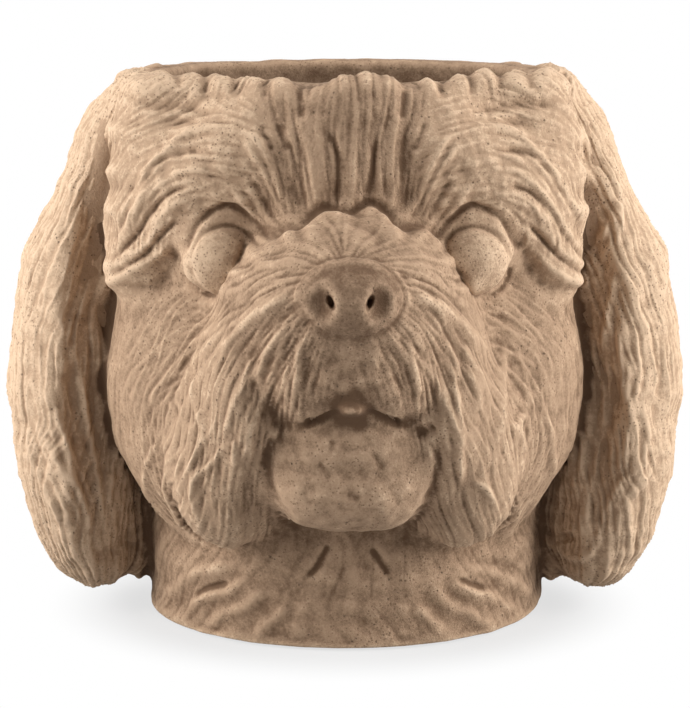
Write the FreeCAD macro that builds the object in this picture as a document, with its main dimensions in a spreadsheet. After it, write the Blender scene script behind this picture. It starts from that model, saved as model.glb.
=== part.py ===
"""Dog-head flower pot in cast stone.

A round planter carries the modelled head of a shaggy dog that looks a little upwards. The dog faces -Y,
its own left side is +X, and +Z is up. The origin is on the pot's axis, on the surface it stands on.
Sizes are millimetres.
"""
import FreeCAD, Part
import os
import Sketcher

DIMENSIONS = (
    ("mouth_diameter", 152.0, "clear opening, takes a 15 cm nursery pot"),
    ("mouth_depth", 70.0, "straight wall below the rim"),
    ("rim_wall", 16.0, "wall at the rim"),
    ("rim_bevel", 3.0, "broken edge on both sides of the rim"),
    ("head_swell", 5.0, "how far the head's equator stands out past the rim"),
    ("head_undercut", 12.0, "how far the head's underside draws in from the equator"),
    ("head_upper", 84.0, "equator to rim"),
    ("head_lower", 88.0, "underside of the head to its equator"),
    ("neck_height", 56.0, "floor to the underside of the head"),
    ("neck_wall", 18.0, "wall at the neck"),
    ("ruff_wall", 8.0, "ruff thickness under the head"),
    ("ruff_taper", 2.0, "how much thinner the ruff is at its foot"),
    ("ruff_lift", 1.0, "gap that keeps the ruff off the floor"),
    ("foot_width", 15.0, "width of the foot ring"),
    ("foot_recess", 5.0, "hollow under the pot"),
    ("floor_thickness", 20.0, "floor of the planting space"),
    ("bond_gap", 0.3, "mortar gap round pegs, seats and the ruff"),
    ("peg_cover", 9.0, "wall left behind each peg socket"),
    ("drain_diameter", 22.0, "drain hole at the planting floor"),
    ("drain_taper", 4.0, "how much narrower the drain hole is underneath"),
    ("plug_clearance", 0.3, "gap between the plug and the drain hole"),
    ("plug_short", 2.0, "how far the plug stops above the hollow underneath"),
    ("plug_head_diameter", 34.0, "flange that rests on the planting floor"),
    ("plug_head_height", 5.0, "flange thickness"),
    ("plug_stem_diameter", 8.0, "stem under the pull knob"),
    ("plug_stem_height", 8.0, "flange to the pull knob"),
    ("plug_knob_diameter", 16.0, "pull knob"),
    ("plug_knob_height", 9.0, "pull knob"),
    ("eye_diameter", 31.0, "eyeball"),
    ("eye_spacing", 98.0, "between the eyeballs' centres"),
    ("eye_rise", 16.0, "eyeball's centre above the equator"),
    ("eye_proud", 2.0, "eyeball's centre outside the head's wall"),
    ("lid_width", 8.0, "thickness of the rolled eyelid"),
    ("lid_overlap", 1.5, "how far the eyelid laps over the eyeball"),
    ("lid_proud", 5.0, "eyelid's ring ahead of the eyeball's centre"),
    ("brow_length", 110.0, "brow along its roll"),
    ("brow_height", 54.0, "brow across its roll"),
    ("brow_thickness", 46.0, "brow from back to front, half of it in the wall"),
    ("brow_drop", 44.0, "brow's centre below the rim"),
    ("brow_bed", 7.0, "brow's centre inside the head's wall"),
    ("brow_angle", 42.0, "brow's centre, degrees round from the nose"),
    ("brow_slope", 33.0, "degrees that the brow's outer end hangs"),
    ("forelock_width", 72.0, "tuft on the forehead"),
    ("forelock_length", 92.0, "tuft on the forehead"),
    ("forelock_thickness", 52.0, "tuft on the forehead, partly in the wall"),
    ("forelock_drop", 30.0, "tuft's centre below the rim"),
    ("forelock_bed", 15.0, "tuft's centre inside the head's wall"),
    ("cheek_width", 92.0, "cheek along the wall"),
    ("cheek_height", 120.0, "cheek"),
    ("cheek_thickness", 68.0, "cheek across the wall, partly in it"),
    ("cheek_bed", 21.0, "cheek's centre inside the head's wall"),
    ("cheek_drop", 40.0, "cheek's centre below the equator"),
    ("cheek_angle", 50.0, "cheek's centre, degrees round from the nose"),
    ("muzzle_width", 96.0, "muzzle"),
    ("muzzle_length", 128.0, "muzzle from back to front, partly in the wall"),
    ("muzzle_height", 80.0, "muzzle"),
    ("muzzle_bed", 7.0, "muzzle's centre inside the head's wall"),
    ("muzzle_drop", 5.0, "muzzle's centre below the equator"),
    ("muzzle_tilt", 12.0, "degrees that the muzzle points up"),
    ("muzzle_peg_diameter", 24.0, "peg that carries the muzzle"),
    ("nose_width", 37.0, "nose pad"),
    ("nose_height", 29.0, "nose pad"),
    ("nose_depth", 26.0, "nose pad from back to front, partly in the muzzle"),
    ("nose_inset", 8.0, "nose pad's centre behind the muzzle's tip"),
    ("nose_drop", 2.5, "nose pad's centre below the muzzle's axis"),
    ("jowl_width", 48.0, "jowl"),
    ("jowl_height", 76.0, "jowl"),
    ("jowl_thickness", 56.0, "jowl from back to front, partly in the wall"),
    ("jowl_spacing", 82.0, "between the jowls' centres"),
    ("jowl_bed", 12.0, "jowl's centre inside the head's front"),
    ("jowl_drop", 65.5, "jowl's centre below the equator"),
    ("jowl_peg_diameter", 12.0, "peg that carries a jowl"),
    ("chin_width", 68.0, "chin"),
    ("chin_height", 52.0, "chin"),
    ("chin_length", 72.0, "chin from back to front, partly in the wall"),
    ("chin_bed", 5.0, "chin's centre inside the head's front"),
    ("chin_drop", 63.5, "chin's centre below the equator"),
    ("chin_peg_diameter", 16.0, "peg that carries the chin"),
    ("tongue_width", 14.0, "tongue tip"),
    ("tongue_height", 9.0, "tongue tip"),
    ("tongue_length", 34.0, "tongue, partly in the mouth"),
    ("tongue_reach", 30.0, "tongue's centre ahead of the head's front"),
    ("tongue_drop", 36.0, "tongue's centre below the equator"),
    ("ear_flare", 47.5, "how far the ear's lobe stands out past the head's equator"),
    ("ear_depth", 96.0, "ear's lobe from back to front"),
    ("ear_bed", 11.0, "ear's inner side inside the head's wall"),
    ("ear_forward", 6.0, "ear's centre ahead of the pot's axis"),
    ("ear_tip_height", 7.0, "ear's tip above the floor"),
    ("ear_peg_diameter", 14.0, "peg that carries the ear"),
    ("ear_peg_drop", 38.0, "upper ear peg below the rim"),
    ("ear_peg_spacing", 56.0, "between the two ear pegs"),
    ("ear_furrow_width", 12.0, "round tool that cuts a furrow of the ear"),
    ("ear_furrow_depth", 3.5, "furrow of the ear"),
    ("ear_valley_width", 18.0, "round tool that cuts the valley between ear and cheek"),
    ("ear_valley_depth", 5.0, "valley between ear and cheek"),
    ("coat_spacing", 24.0, "between furrows of the coat on the back of the head"),
    ("coat_width", 11.0, "furrow of the coat"),
    ("coat_depth", 3.0, "furrow of the coat"),
    ("coat_length", 80.0, "furrow of the coat"),
    ("coat_rise", 40.0, "middle of the furrows above or below the equator"),
)

RIM_RADIUS = "(Dims.mouth_diameter / 2 + Dims.rim_wall)"
HEAD_RADIUS = f"({RIM_RADIUS} + Dims.head_swell)"
SHOULDER_RADIUS = f"({HEAD_RADIUS} - Dims.head_undercut)"
NECK_RADIUS = f"({SHOULDER_RADIUS} - Dims.ruff_wall)"
FLOOR_RADIUS = f"({NECK_RADIUS} - Dims.neck_wall)"
PEG_ROOT = "(Dims.mouth_diameter / 2 + Dims.peg_cover)"
EQUATOR = "(Dims.neck_height + Dims.head_lower)"
RIM = f"({EQUATOR} + Dims.head_upper)"
FLOOR = "(Dims.foot_recess + Dims.floor_thickness)"
EAR_LENGTH = f"({RIM} - Dims.ear_tip_height)"
DRAIN_TOP_RADIUS = "(Dims.drain_diameter / 2)"
DRAIN_FOOT_RADIUS = "((Dims.drain_diameter - Dims.drain_taper) / 2)"
EYE_RADIUS = "(Dims.eye_diameter / 2)"

# Ear sections from the root at the rim to the tip: share of the ear's length, share of the flare,
# share of the depth, and multiple of the bed.
EAR_SECTIONS = (
    (0.00, -0.08, 0.50, 2.1),
    (0.09, 0.29, 0.68, 1.5),
    (0.23, 0.57, 0.80, 1.2),
    (0.38, 0.86, 0.92, 1.0),
    (0.57, 1.00, 1.00, 1.0),
    (0.76, 0.93, 0.96, 1.0),
    (0.89, 0.74, 0.77, 0.9),
    (0.97, 0.49, 0.50, 0.5),
    (1.00, 0.32, 0.26, 0.0),
)

# The ear's furrows follow circles that touch its widest section and reach up to its third section. Each has
# its place, in degrees round the lobe from its outer side towards the front, and how closely its circle
# follows the lobe up to the third section; the two outer ones leave the lobe before the thin edge at the rim.
EAR_UPPER, EAR_WIDEST = EAR_SECTIONS[2], EAR_SECTIONS[4]
EAR_FURROW_LEVEL = 0.62
EAR_FURROWS = ((-80, 0.9), (-32, 0.83), (15, 0.83), (62, 0.9))
EAR_VALLEY = (112, 0.9)

# Furrows of the coat behind the ears, in steps of the spacing from the middle of the back.
COAT_UPPER_STEPS = (-4, -3, -2, -1, 0, 1, 2, 3, 4)
COAT_LOWER_STEPS = (-3.5, -2.5, -1.5, -0.5, 0.5, 1.5, 2.5, 3.5)

doc = FreeCAD.newDocument("dog_head_planter")


def make_sheet():
    """Write the driving dimensions to a spreadsheet, one named cell each."""
    sheet = doc.addObject("Spreadsheet::Sheet", "Dims")
    for row, (alias, size, note) in enumerate(DIMENSIONS, start=1):
        sheet.set(f"A{row}", alias)
        sheet.set(f"B{row}", str(size))
        sheet.setAlias(f"B{row}", alias)
        sheet.set(f"C{row}", note)
    doc.recompute()
    return sheet


dims = make_sheet()


def number(expression):
    """Work out an expression on the sheet's cells."""
    return float(dims.evalExpression(expression))


def turned_body(name, corners, swells=()):
    """Turn a closed profile about the pot's axis.

    corners are (radius, height) expressions in order. swells maps the index of an edge to the index of
    the corner whose height its arc is centred on, so that the wall stands upright there.
    """
    body = doc.addObject("PartDesign::Body", name)
    sketch = body.newObject("Sketcher::SketchObject", f"{name}_profile")
    plane = next(item for item in body.Origin.OriginFeatures if item.Role == "XZ_Plane")
    sketch.AttachmentSupport = [(plane, "")]
    sketch.MapMode = "FlatFace"
    swells = dict(swells)
    points = [FreeCAD.Vector(number(radius), number(height), 0) for radius, height in corners]
    for index, start in enumerate(points):
        end = points[(index + 1) % len(points)]
        if index in swells:
            upright = points[swells[index]]
            other = end if upright is start else start
            drop = upright.x - other.x
            radius = (drop ** 2 + (upright.y - other.y) ** 2) / (2 * drop)
            centre = FreeCAD.Vector(upright.x - radius, upright.y, 0)
            middle = (start + end) * 0.5 - centre
            middle.normalize()
            sketch.addGeometry(Part.Arc(start, centre + middle * radius, end))
        else:
            sketch.addGeometry(Part.LineSegment(start, end))
    for index, (radius, height) in enumerate(corners):
        following = (index + 1) % len(corners)
        sketch.addConstraint(Sketcher.Constraint("Coincident", index, 2, following, 1))
        for axis, expression in (("X", radius), ("Y", height)):
            constraint = Sketcher.Constraint(f"Distance{axis}", -1, 1, index, 1, number(expression))
            place = sketch.addConstraint(constraint)
            sketch.setExpression(f"Constraints[{place}]", expression)
    for edge, level in swells.items():
        constraint = Sketcher.Constraint("DistanceY", -1, 1, edge, 3, points[level].y)
        place = sketch.addConstraint(constraint)
        sketch.setExpression(f"Constraints[{place}]", corners[level][1])
    turn = body.newObject("PartDesign::Revolution", f"{name}_turn")
    turn.Profile = sketch
    turn.ReferenceAxis = (sketch, ["V_Axis"])
    turn.Angle = 360
    sketch.Visibility = False
    doc.recompute()
    return body


def primitive(kind, name, sizes, place, turn=("0", "0", "0"), own_turn=("0", "0", "0")):
    """Add a Part primitive with its sizes, place and yaw, pitch and roll bound to the sheet."""
    piece = doc.addObject(f"Part::{kind}", name)
    for size, expression in sizes.items():
        piece.setExpression(size, expression)
    base = "; ".join(place)
    rotation = f"rotation({'; '.join(turn)}) * rotation({'; '.join(own_turn)})"
    piece.setExpression("Placement", f"placement(vector({base}); {rotation})")
    return piece


def ellipsoid(name, width, depth, height, place, turn=("0", "0", "0")):
    """Add an ellipsoid of the given full sizes across X, Y and Z before it is turned.

    Its own turn puts the surface's seam at the back, inside the head.
    """
    sizes = {"Radius2": f"{depth} / 2", "Radius3": f"{width} / 2", "Radius1": f"{height} / 2"}
    return primitive("Ellipsoid", name, sizes, place, turn, ("90", "0", "0"))


def cut(name, base, *tools):
    """Take each tool away from the base in turn."""
    result = base
    for count, tool in enumerate(tools, start=1):
        step = doc.addObject("Part::Cut", name if count == len(tools) else f"{name}_step_{count}")
        step.Base = result
        step.Tool = tool
        result = step
    return result


def fuse(name, *shapes):
    """Join shapes into one."""
    result = doc.addObject("Part::MultiFuse", name)
    result.Shapes = list(shapes)
    return result


def mirror(name, source):
    """Make the dog's right-hand twin of a left-hand piece."""
    twin = doc.addObject("Part::Mirroring", name)
    twin.Source = source
    twin.Normal = FreeCAD.Vector(1, 0, 0)
    return twin


def peg_and_socket(name, diameter, length, place_at, turn):
    """Make a round peg, and the socket that takes it with the mortar gap all round.

    place_at gives the place of a root at a distance from the pot's axis.
    """
    peg = primitive("Cylinder", f"{name}_peg", {"Radius": f"{diameter} / 2", "Height": length},
                    place_at(PEG_ROOT), turn)
    socket = primitive("Cylinder", f"{name}_socket",
                       {"Radius": f"{diameter} / 2 + Dims.bond_gap", "Height": length},
                       place_at(f"({PEG_ROOT} - Dims.bond_gap)"), turn)
    return peg, socket


FORWARD = ("0", "0", "90")
SIDEWAYS = ("0", "90", "0")


def round_the_head(radius, angle):
    """Give the X and Y of a point that is turned round from the nose towards the dog's left."""
    return f"({radius}) * sin({angle} * 1 deg)", f"-({radius}) * cos({angle} * 1 deg)"


def make_head_core():
    """Turn the head and neck as a solid, before they are hollowed."""
    return turned_body(
        "head_core",
        (
            ("0", "0"),
            (NECK_RADIUS, "0"),
            (NECK_RADIUS, "Dims.neck_height"),
            (SHOULDER_RADIUS, "Dims.neck_height"),
            (HEAD_RADIUS, EQUATOR),
            (RIM_RADIUS, f"{RIM} - Dims.rim_bevel"),
            (f"{RIM_RADIUS} - Dims.rim_bevel", RIM),
            ("0", RIM),
        ),
        {3: 4, 4: 4},
    )


def make_trim():
    """Turn the outside of the head and the ruff as one solid: whatever sits on them is trimmed by it."""
    return turned_body(
        "outside_trim",
        (
            ("0", "Dims.ruff_lift"),
            (f"{SHOULDER_RADIUS} - Dims.ruff_taper", "Dims.ruff_lift"),
            (SHOULDER_RADIUS, "Dims.neck_height"),
            (HEAD_RADIUS, EQUATOR),
            (RIM_RADIUS, f"{RIM} - Dims.rim_bevel"),
            (f"{RIM_RADIUS} - Dims.rim_bevel", RIM),
            ("0", RIM),
        ),
        {2: 3, 3: 3},
    )


def make_hollow():
    """Turn the planting space, and add the hollow underneath and the tapered drain hole."""
    above = f"{RIM} + Dims.rim_wall"
    space = turned_body(
        "planting_space",
        (
            ("0", FLOOR),
            (FLOOR_RADIUS, FLOOR),
            ("Dims.mouth_diameter / 2", f"{RIM} - Dims.mouth_depth"),
            ("Dims.mouth_diameter / 2", f"{RIM} - Dims.rim_bevel"),
            ("Dims.mouth_diameter / 2 + Dims.rim_bevel", RIM),
            ("Dims.mouth_diameter / 2 + Dims.rim_bevel", above),
            ("0", above),
        ),
    )
    recess = primitive(
        "Cylinder", "foot_hollow",
        {"Radius": f"{NECK_RADIUS} - Dims.foot_width", "Height": "Dims.foot_recess"},
        ("0", "0", "0"),
    )
    drain = primitive(
        "Cone", "drain_hole",
        {"Radius1": DRAIN_FOOT_RADIUS, "Radius2": DRAIN_TOP_RADIUS, "Height": "Dims.floor_thickness"},
        ("0", "0", "Dims.foot_recess"),
    )
    return fuse("hollow", space, recess, drain)


def make_ruff():
    """Turn the ring of neck fur that fits round the neck, under the head."""
    inside = f"{NECK_RADIUS} + Dims.bond_gap"
    return turned_body(
        "neck_ruff",
        (
            (inside, "Dims.ruff_lift"),
            (f"{SHOULDER_RADIUS} - Dims.ruff_taper", "Dims.ruff_lift"),
            (SHOULDER_RADIUS, "Dims.neck_height"),
            (inside, "Dims.neck_height"),
        ),
    )


def make_plug():
    """Turn the drain plug: a tapered shank, a flange that rests on the floor, a stem and a knob."""
    narrow = f"{DRAIN_FOOT_RADIUS} - Dims.plug_clearance"
    wide = f"{DRAIN_TOP_RADIUS} - Dims.plug_clearance"
    flange = f"{FLOOR} + Dims.plug_head_height"
    knob = f"{flange} + Dims.plug_stem_height"
    top = f"{knob} + Dims.plug_knob_height"
    return turned_body(
        "drain_plug",
        (
            ("0", "Dims.foot_recess + Dims.plug_short"),
            (narrow, "Dims.foot_recess + Dims.plug_short"),
            (wide, FLOOR),
            ("Dims.plug_head_diameter / 2", FLOOR),
            ("Dims.plug_head_diameter / 2", flange),
            ("Dims.plug_stem_diameter / 2", flange),
            ("Dims.plug_stem_diameter / 2", knob),
            ("Dims.plug_knob_diameter / 2", knob),
            ("Dims.plug_knob_diameter / 2", top),
            ("0", top),
        ),
    )


def make_eye():
    """Make the left eyeball, its seat in the wall and the rolled lid round it."""
    across = "Dims.eye_spacing / 2"
    reach = f"({HEAD_RADIUS} + Dims.eye_proud)"
    depth = f"sqrt({reach} ^ 2 - ({across}) ^ 2)"
    height = f"{EQUATOR} + Dims.eye_rise"
    place = (across, f"-{depth}", height)
    ball = primitive("Sphere", "left_eye", {"Radius": EYE_RADIUS}, place)
    seat = primitive("Sphere", "left_eye_seat", {"Radius": f"{EYE_RADIUS} + Dims.bond_gap"}, place)
    ahead = f"(1 + Dims.lid_proud / {reach})"
    ring = primitive(
        "Torus", "left_eyelid_ring",
        {
            "Radius1": f"{EYE_RADIUS} + Dims.lid_width / 2 - Dims.lid_overlap",
            "Radius2": "Dims.lid_width / 2",
        },
        (f"{across} * {ahead}", f"-{depth} * {ahead}", height),
        (f"asin({across} / {reach})", "0", "90"),
    )
    return ball, seat, ring


def make_brow():
    """Make the roll of hair over the left eye."""
    across, depth = round_the_head(f"{HEAD_RADIUS} - Dims.brow_bed", "Dims.brow_angle")
    return ellipsoid(
        "left_brow_roll", "Dims.brow_length", "Dims.brow_thickness", "Dims.brow_height",
        (across, depth, f"{RIM} - Dims.brow_drop"),
        ("Dims.brow_angle", "Dims.brow_slope", "0"),
    )


def make_forelock():
    """Make the tuft on the forehead, levelled at the rim."""
    tuft = ellipsoid(
        "forelock_tuft", "Dims.forelock_width", "Dims.forelock_thickness", "Dims.forelock_length",
        ("0", f"-({HEAD_RADIUS} - Dims.forelock_bed)", f"{RIM} - Dims.forelock_drop"),
    )
    over_rim = primitive(
        "Box", "over_rim",
        {
            "Length": "Dims.forelock_width",
            "Width": "Dims.forelock_thickness",
            "Height": "Dims.forelock_length",
        },
        (
            "-Dims.forelock_width / 2",
            f"-({HEAD_RADIUS} - Dims.forelock_bed) - Dims.forelock_thickness / 2",
            RIM,
        ),
    )
    return tuft, over_rim


def make_cheek():
    """Make the left cheek."""
    across, depth = round_the_head(f"{HEAD_RADIUS} - Dims.cheek_bed", "Dims.cheek_angle")
    return ellipsoid(
        "left_cheek_pad", "Dims.cheek_width", "Dims.cheek_thickness", "Dims.cheek_height",
        (across, depth, f"{EQUATOR} - Dims.cheek_drop"),
        ("Dims.cheek_angle", "0", "0"),
    )


def ear_section(section):
    """Give the middle, half width and half depth of one of the ear's sections."""
    _, flare, spread, bed = section
    outside = f"({HEAD_RADIUS} + {flare} * Dims.ear_flare)"
    inside = f"({HEAD_RADIUS} - {bed} * Dims.ear_bed)"
    return f"(({outside} + {inside}) / 2)", f"(({outside} - {inside}) / 2)", f"({spread} * Dims.ear_depth / 2)"


def ear_side(section, angle):
    """Give the X and Y of a point round one of the ear's sections."""
    middle, width, depth = ear_section(section)
    return (f"({middle} + {width} * cos({angle} * 1 deg))",
            f"(-Dims.ear_forward - {depth} * sin({angle} * 1 deg))")


def ear_furrow(name, course, width, depth):
    """Make a ring that cuts one long furrow down the left ear."""
    angle, fit = course
    _, half_width, half_depth = ear_section(EAR_WIDEST)
    yaw = f"atan2(-sin({angle} * 1 deg) / {half_depth}; cos({angle} * 1 deg) / {half_width})"
    out_x, out_y = f"cos({yaw})", f"sin({yaw})"
    x, y = ear_side(EAR_WIDEST, angle)
    upper_x, upper_y = ear_side(EAR_UPPER, angle)
    drop = f"({fit} * (({x} - {upper_x}) * {out_x} + ({y} - {upper_y}) * {out_y}))"
    reach = f"({EAR_FURROW_LEVEL - EAR_UPPER[0]} * {EAR_LENGTH})"
    radius = f"(({reach} ^ 2 + {drop} ^ 2) / (2 * {drop}))"
    back = f"({width} / 2 - {depth} - {radius})"
    return primitive(
        "Torus", name, {"Radius1": radius, "Radius2": f"{width} / 2"},
        (f"{x} + {out_x} * {back}", f"{y} + {out_y} * {back}", f"{RIM} - {EAR_FURROW_LEVEL} * {EAR_LENGTH}"),
        (yaw, "0", "90"),
    )


def make_ear_furrows():
    """Make the tools that cut the left ear's furrows and its valley beside the cheek."""
    tools = [
        ear_furrow(f"left_ear_furrow_{count}", course, "Dims.ear_furrow_width", "Dims.ear_furrow_depth")
        for count, course in enumerate(EAR_FURROWS, start=1)
    ]
    return tools + [ear_furrow("left_ear_valley", EAR_VALLEY, "Dims.ear_valley_width", "Dims.ear_valley_depth")]


def coat_furrows(row, steps, rise, drop, span):
    """Make one row of furrows in the back of the head's wall.

    drop and span say how far the wall draws in from the equator, and over what height.
    """
    bend = f"((({drop}) ^ 2 + ({span}) ^ 2) / (2 * ({drop})))"
    lean = f"asin(({rise}) / {bend})"
    reach = f"({HEAD_RADIUS} - {bend} + {bend} * cos({lean}))"
    tools = []
    for count, step in enumerate(steps, start=1):
        angle = f"(180 + {step} * Dims.coat_spacing / {HEAD_RADIUS} * 180 / pi)"
        across, depth = round_the_head(reach, angle)
        tools.append(ellipsoid(
            f"coat_{row}_{count}", "Dims.coat_width", "2 * Dims.coat_depth", "Dims.coat_length",
            (across, depth, f"{EQUATOR} + {rise}"), (angle, "0", f"-{lean}"),
        ))
    return tools


def make_coat():
    """Make the tools that cut the coat's furrows: an upper row, and a lower row between them."""
    upper = coat_furrows("upper", COAT_UPPER_STEPS, "Dims.coat_rise", "Dims.head_swell", "Dims.head_upper")
    lower = coat_furrows("lower", COAT_LOWER_STEPS, "-Dims.coat_rise", "Dims.head_undercut", "Dims.head_lower")
    return fuse("coat_furrows", *upper, *lower)


def make_ear():
    """Loft the left ear down from the rim, with the two pegs that carry it."""
    sections = []
    for count, section in enumerate(EAR_SECTIONS, start=1):
        middle, width, depth = ear_section(section)
        sections.append(primitive(
            "Ellipse", f"left_ear_section_{count}", {"MajorRadius": depth, "MinorRadius": width},
            (middle, "-Dims.ear_forward", f"{RIM} - {section[0]} * {EAR_LENGTH}"), ("90", "0", "0"),
        ))
    lobe = doc.addObject("Part::Loft", "left_ear_lobe")
    lobe.Sections = sections
    lobe.Solid = True
    reach = f"{HEAD_RADIUS} + Dims.ear_bed - {PEG_ROOT}"
    upper = f"{RIM} - Dims.ear_peg_drop"
    lower = f"{upper} - Dims.ear_peg_spacing"
    fittings = [
        peg_and_socket(
            f"left_ear_{name}", "Dims.ear_peg_diameter", reach,
            lambda root, height=height: (root, "-Dims.ear_forward", height), SIDEWAYS,
        )
        for name, height in (("upper", upper), ("lower", lower))
    ]
    return lobe, fittings


def make_muzzle():
    """Make the muzzle and its peg, and the nose pad at its tip."""
    tilt = "Dims.muzzle_tilt * 1 deg"
    centre_depth = f"({HEAD_RADIUS} - Dims.muzzle_bed)"
    centre_height = f"({EQUATOR} - Dims.muzzle_drop)"
    lobe = ellipsoid(
        "muzzle_lobe", "Dims.muzzle_width", "Dims.muzzle_length", "Dims.muzzle_height",
        ("0", f"-{centre_depth}", centre_height),
        ("0", "0", "-Dims.muzzle_tilt"),
    )
    nose_reach = "(Dims.muzzle_length / 2 - Dims.nose_inset)"
    pad = ellipsoid(
        "nose", "Dims.nose_width", "Dims.nose_depth", "Dims.nose_height",
        (
            "0",
            f"-({centre_depth} + {nose_reach} * cos({tilt}))",
            f"{centre_height} + {nose_reach} * sin({tilt}) - Dims.nose_drop",
        ),
        ("0", "0", "-Dims.muzzle_tilt"),
    )
    fitting = peg_and_socket(
        "muzzle", "Dims.muzzle_peg_diameter", f"{HEAD_RADIUS} + Dims.muzzle_peg_diameter - {PEG_ROOT}",
        lambda root: ("0", f"-{root}", centre_height), FORWARD,
    )
    return lobe, pad, fitting


def make_jowl():
    """Make the left jowl and its peg."""
    height = f"{EQUATOR} - Dims.jowl_drop"
    depth = f"({HEAD_RADIUS} - Dims.jowl_bed)"
    across = "Dims.jowl_spacing / 2"
    lobe = ellipsoid(
        "left_jowl_lobe", "Dims.jowl_width", "Dims.jowl_thickness", "Dims.jowl_height",
        (across, f"-{depth}", height),
    )
    fitting = peg_and_socket(
        "left_jowl", "Dims.jowl_peg_diameter", f"{depth} + 2 * Dims.jowl_peg_diameter - {PEG_ROOT}",
        lambda root: (across, f"-sqrt({root} ^ 2 - ({across}) ^ 2)", height), FORWARD,
    )
    return lobe, fitting


def make_chin():
    """Make the chin and its peg, and the tongue that lies on it."""
    height = f"{EQUATOR} - Dims.chin_drop"
    lobe = ellipsoid(
        "chin_lobe", "Dims.chin_width", "Dims.chin_length", "Dims.chin_height",
        ("0", f"-({HEAD_RADIUS} - Dims.chin_bed)", height),
    )
    fitting = peg_and_socket(
        "chin", "Dims.chin_peg_diameter", f"{HEAD_RADIUS} + Dims.chin_peg_diameter / 2 - {PEG_ROOT}",
        lambda root: ("0", f"-{root}", height), FORWARD,
    )
    blade = ellipsoid(
        "tongue_blade", "Dims.tongue_width", "Dims.tongue_length", "Dims.tongue_height",
        ("0", f"-({HEAD_RADIUS} + Dims.tongue_reach)", f"{EQUATOR} - Dims.tongue_drop"),
    )
    return lobe, blade, fitting


def assemble():
    """Build every sub-part, trim each against what it sits on, and list them by name."""
    core = make_head_core()
    trim = make_trim()
    ruff = make_ruff()
    eye, eye_seat, lid_ring = make_eye()
    brow_roll = make_brow()
    tuft, over_rim = make_forelock()
    cheek_pad = make_cheek()
    ear_lobe, ear_fittings = make_ear()
    muzzle_lobe, nose, (muzzle_peg, muzzle_socket) = make_muzzle()
    jowl_lobe, (jowl_peg, jowl_socket) = make_jowl()
    chin_lobe, tongue_blade, (chin_peg, chin_socket) = make_chin()

    side_sockets = fuse("left_sockets", eye_seat, jowl_socket, *(socket for _, socket in ear_fittings))
    vessel = cut("pot_vessel", core, make_hollow(), side_sockets, mirror("right_sockets", side_sockets),
                 fuse("front_sockets", muzzle_socket, chin_socket), make_coat())

    left_eyelid = cut("left_eyelid", lid_ring, trim, eye)
    left_brow = cut("left_brow", brow_roll, trim, lid_ring, eye)
    left_cheek = cut("left_cheek", cheek_pad, trim, lid_ring, eye, brow_roll, jowl_socket)
    ear_body = cut("left_ear_body", ear_lobe, trim, cheek_pad, brow_roll, *make_ear_furrows())
    left_ear = fuse("left_ear", ear_body, *(peg for peg, _ in ear_fittings))
    jowl_body = cut("left_jowl_body", jowl_lobe, trim, cheek_pad, muzzle_lobe)
    left_jowl = fuse("left_jowl", jowl_body, jowl_peg)

    face = [lid_ring, eye, brow_roll, cheek_pad]
    twins = [mirror(f"right_{piece.Name}", piece) for piece in face]
    forelock = cut("forelock", tuft, trim, over_rim, brow_roll, twins[2])
    muzzle_body = cut("muzzle_body", muzzle_lobe, trim, *face, *twins, tuft)
    muzzle = cut("muzzle", fuse("muzzle_on_peg", muzzle_body, muzzle_peg), nose)
    jowl_lobes = (jowl_lobe, mirror("right_jowl_lobe", jowl_lobe))
    chin_body = cut("chin_body", chin_lobe, trim, muzzle_lobe, *jowl_lobes)
    chin = fuse("chin", chin_body, chin_peg)
    tongue = cut("tongue", tongue_blade, trim, muzzle_lobe, chin_lobe)

    parts = {
        "pot_vessel": vessel, "neck_ruff": ruff, "drain_plug": make_plug(), "forelock": forelock,
        "muzzle": muzzle, "nose": nose, "chin": chin, "tongue": tongue,
    }
    pairs = {"eye": eye, "eyelid": left_eyelid, "brow": left_brow, "cheek": left_cheek, "ear": left_ear,
             "jowl": left_jowl}
    for name, piece in pairs.items():
        parts[f"left_{name}"] = piece
        parts[f"right_{name}"] = mirror(f"right_{name}", piece)
    return parts


def write_parts(parts):
    """Check every object and sub-part, then write each sub-part to its own file."""
    doc.recompute()
    for item in doc.Objects:
        if "Invalid" in item.State or "Error" in item.State:
            raise RuntimeError(f"{item.Label} failed: {item.State}")
    for name, part in parts.items():
        part.Label = name
        if part.Shape.isNull() or not part.Shape.isValid() or len(part.Shape.Solids) != 1:
            raise RuntimeError(f"{name} is not one valid solid: {len(part.Shape.Solids)} solids")
    os.makedirs("parts", exist_ok=True)
    for name, part in parts.items():
        part.Shape.exportStep(f"parts/{name}.step")
        print(f"{name}: {part.Shape.Volume / 1000:.1f} cm3")


write_parts(assemble())
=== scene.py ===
"""Dog-head flower pot in cast stone: the sculpted skin, its finishes, and a plain white studio.

The casting is one continuous skin. It is worked out from the modelled masses as a distance field in
millimetres, given its fur as relief along the surface, and then split into the pieces of the CAD model.
"""
import logging
import math
from abc import ABC, abstractmethod
from dataclasses import dataclass, field, replace
from enum import Enum
from typing import Callable, Optional, Sequence, Union

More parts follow.
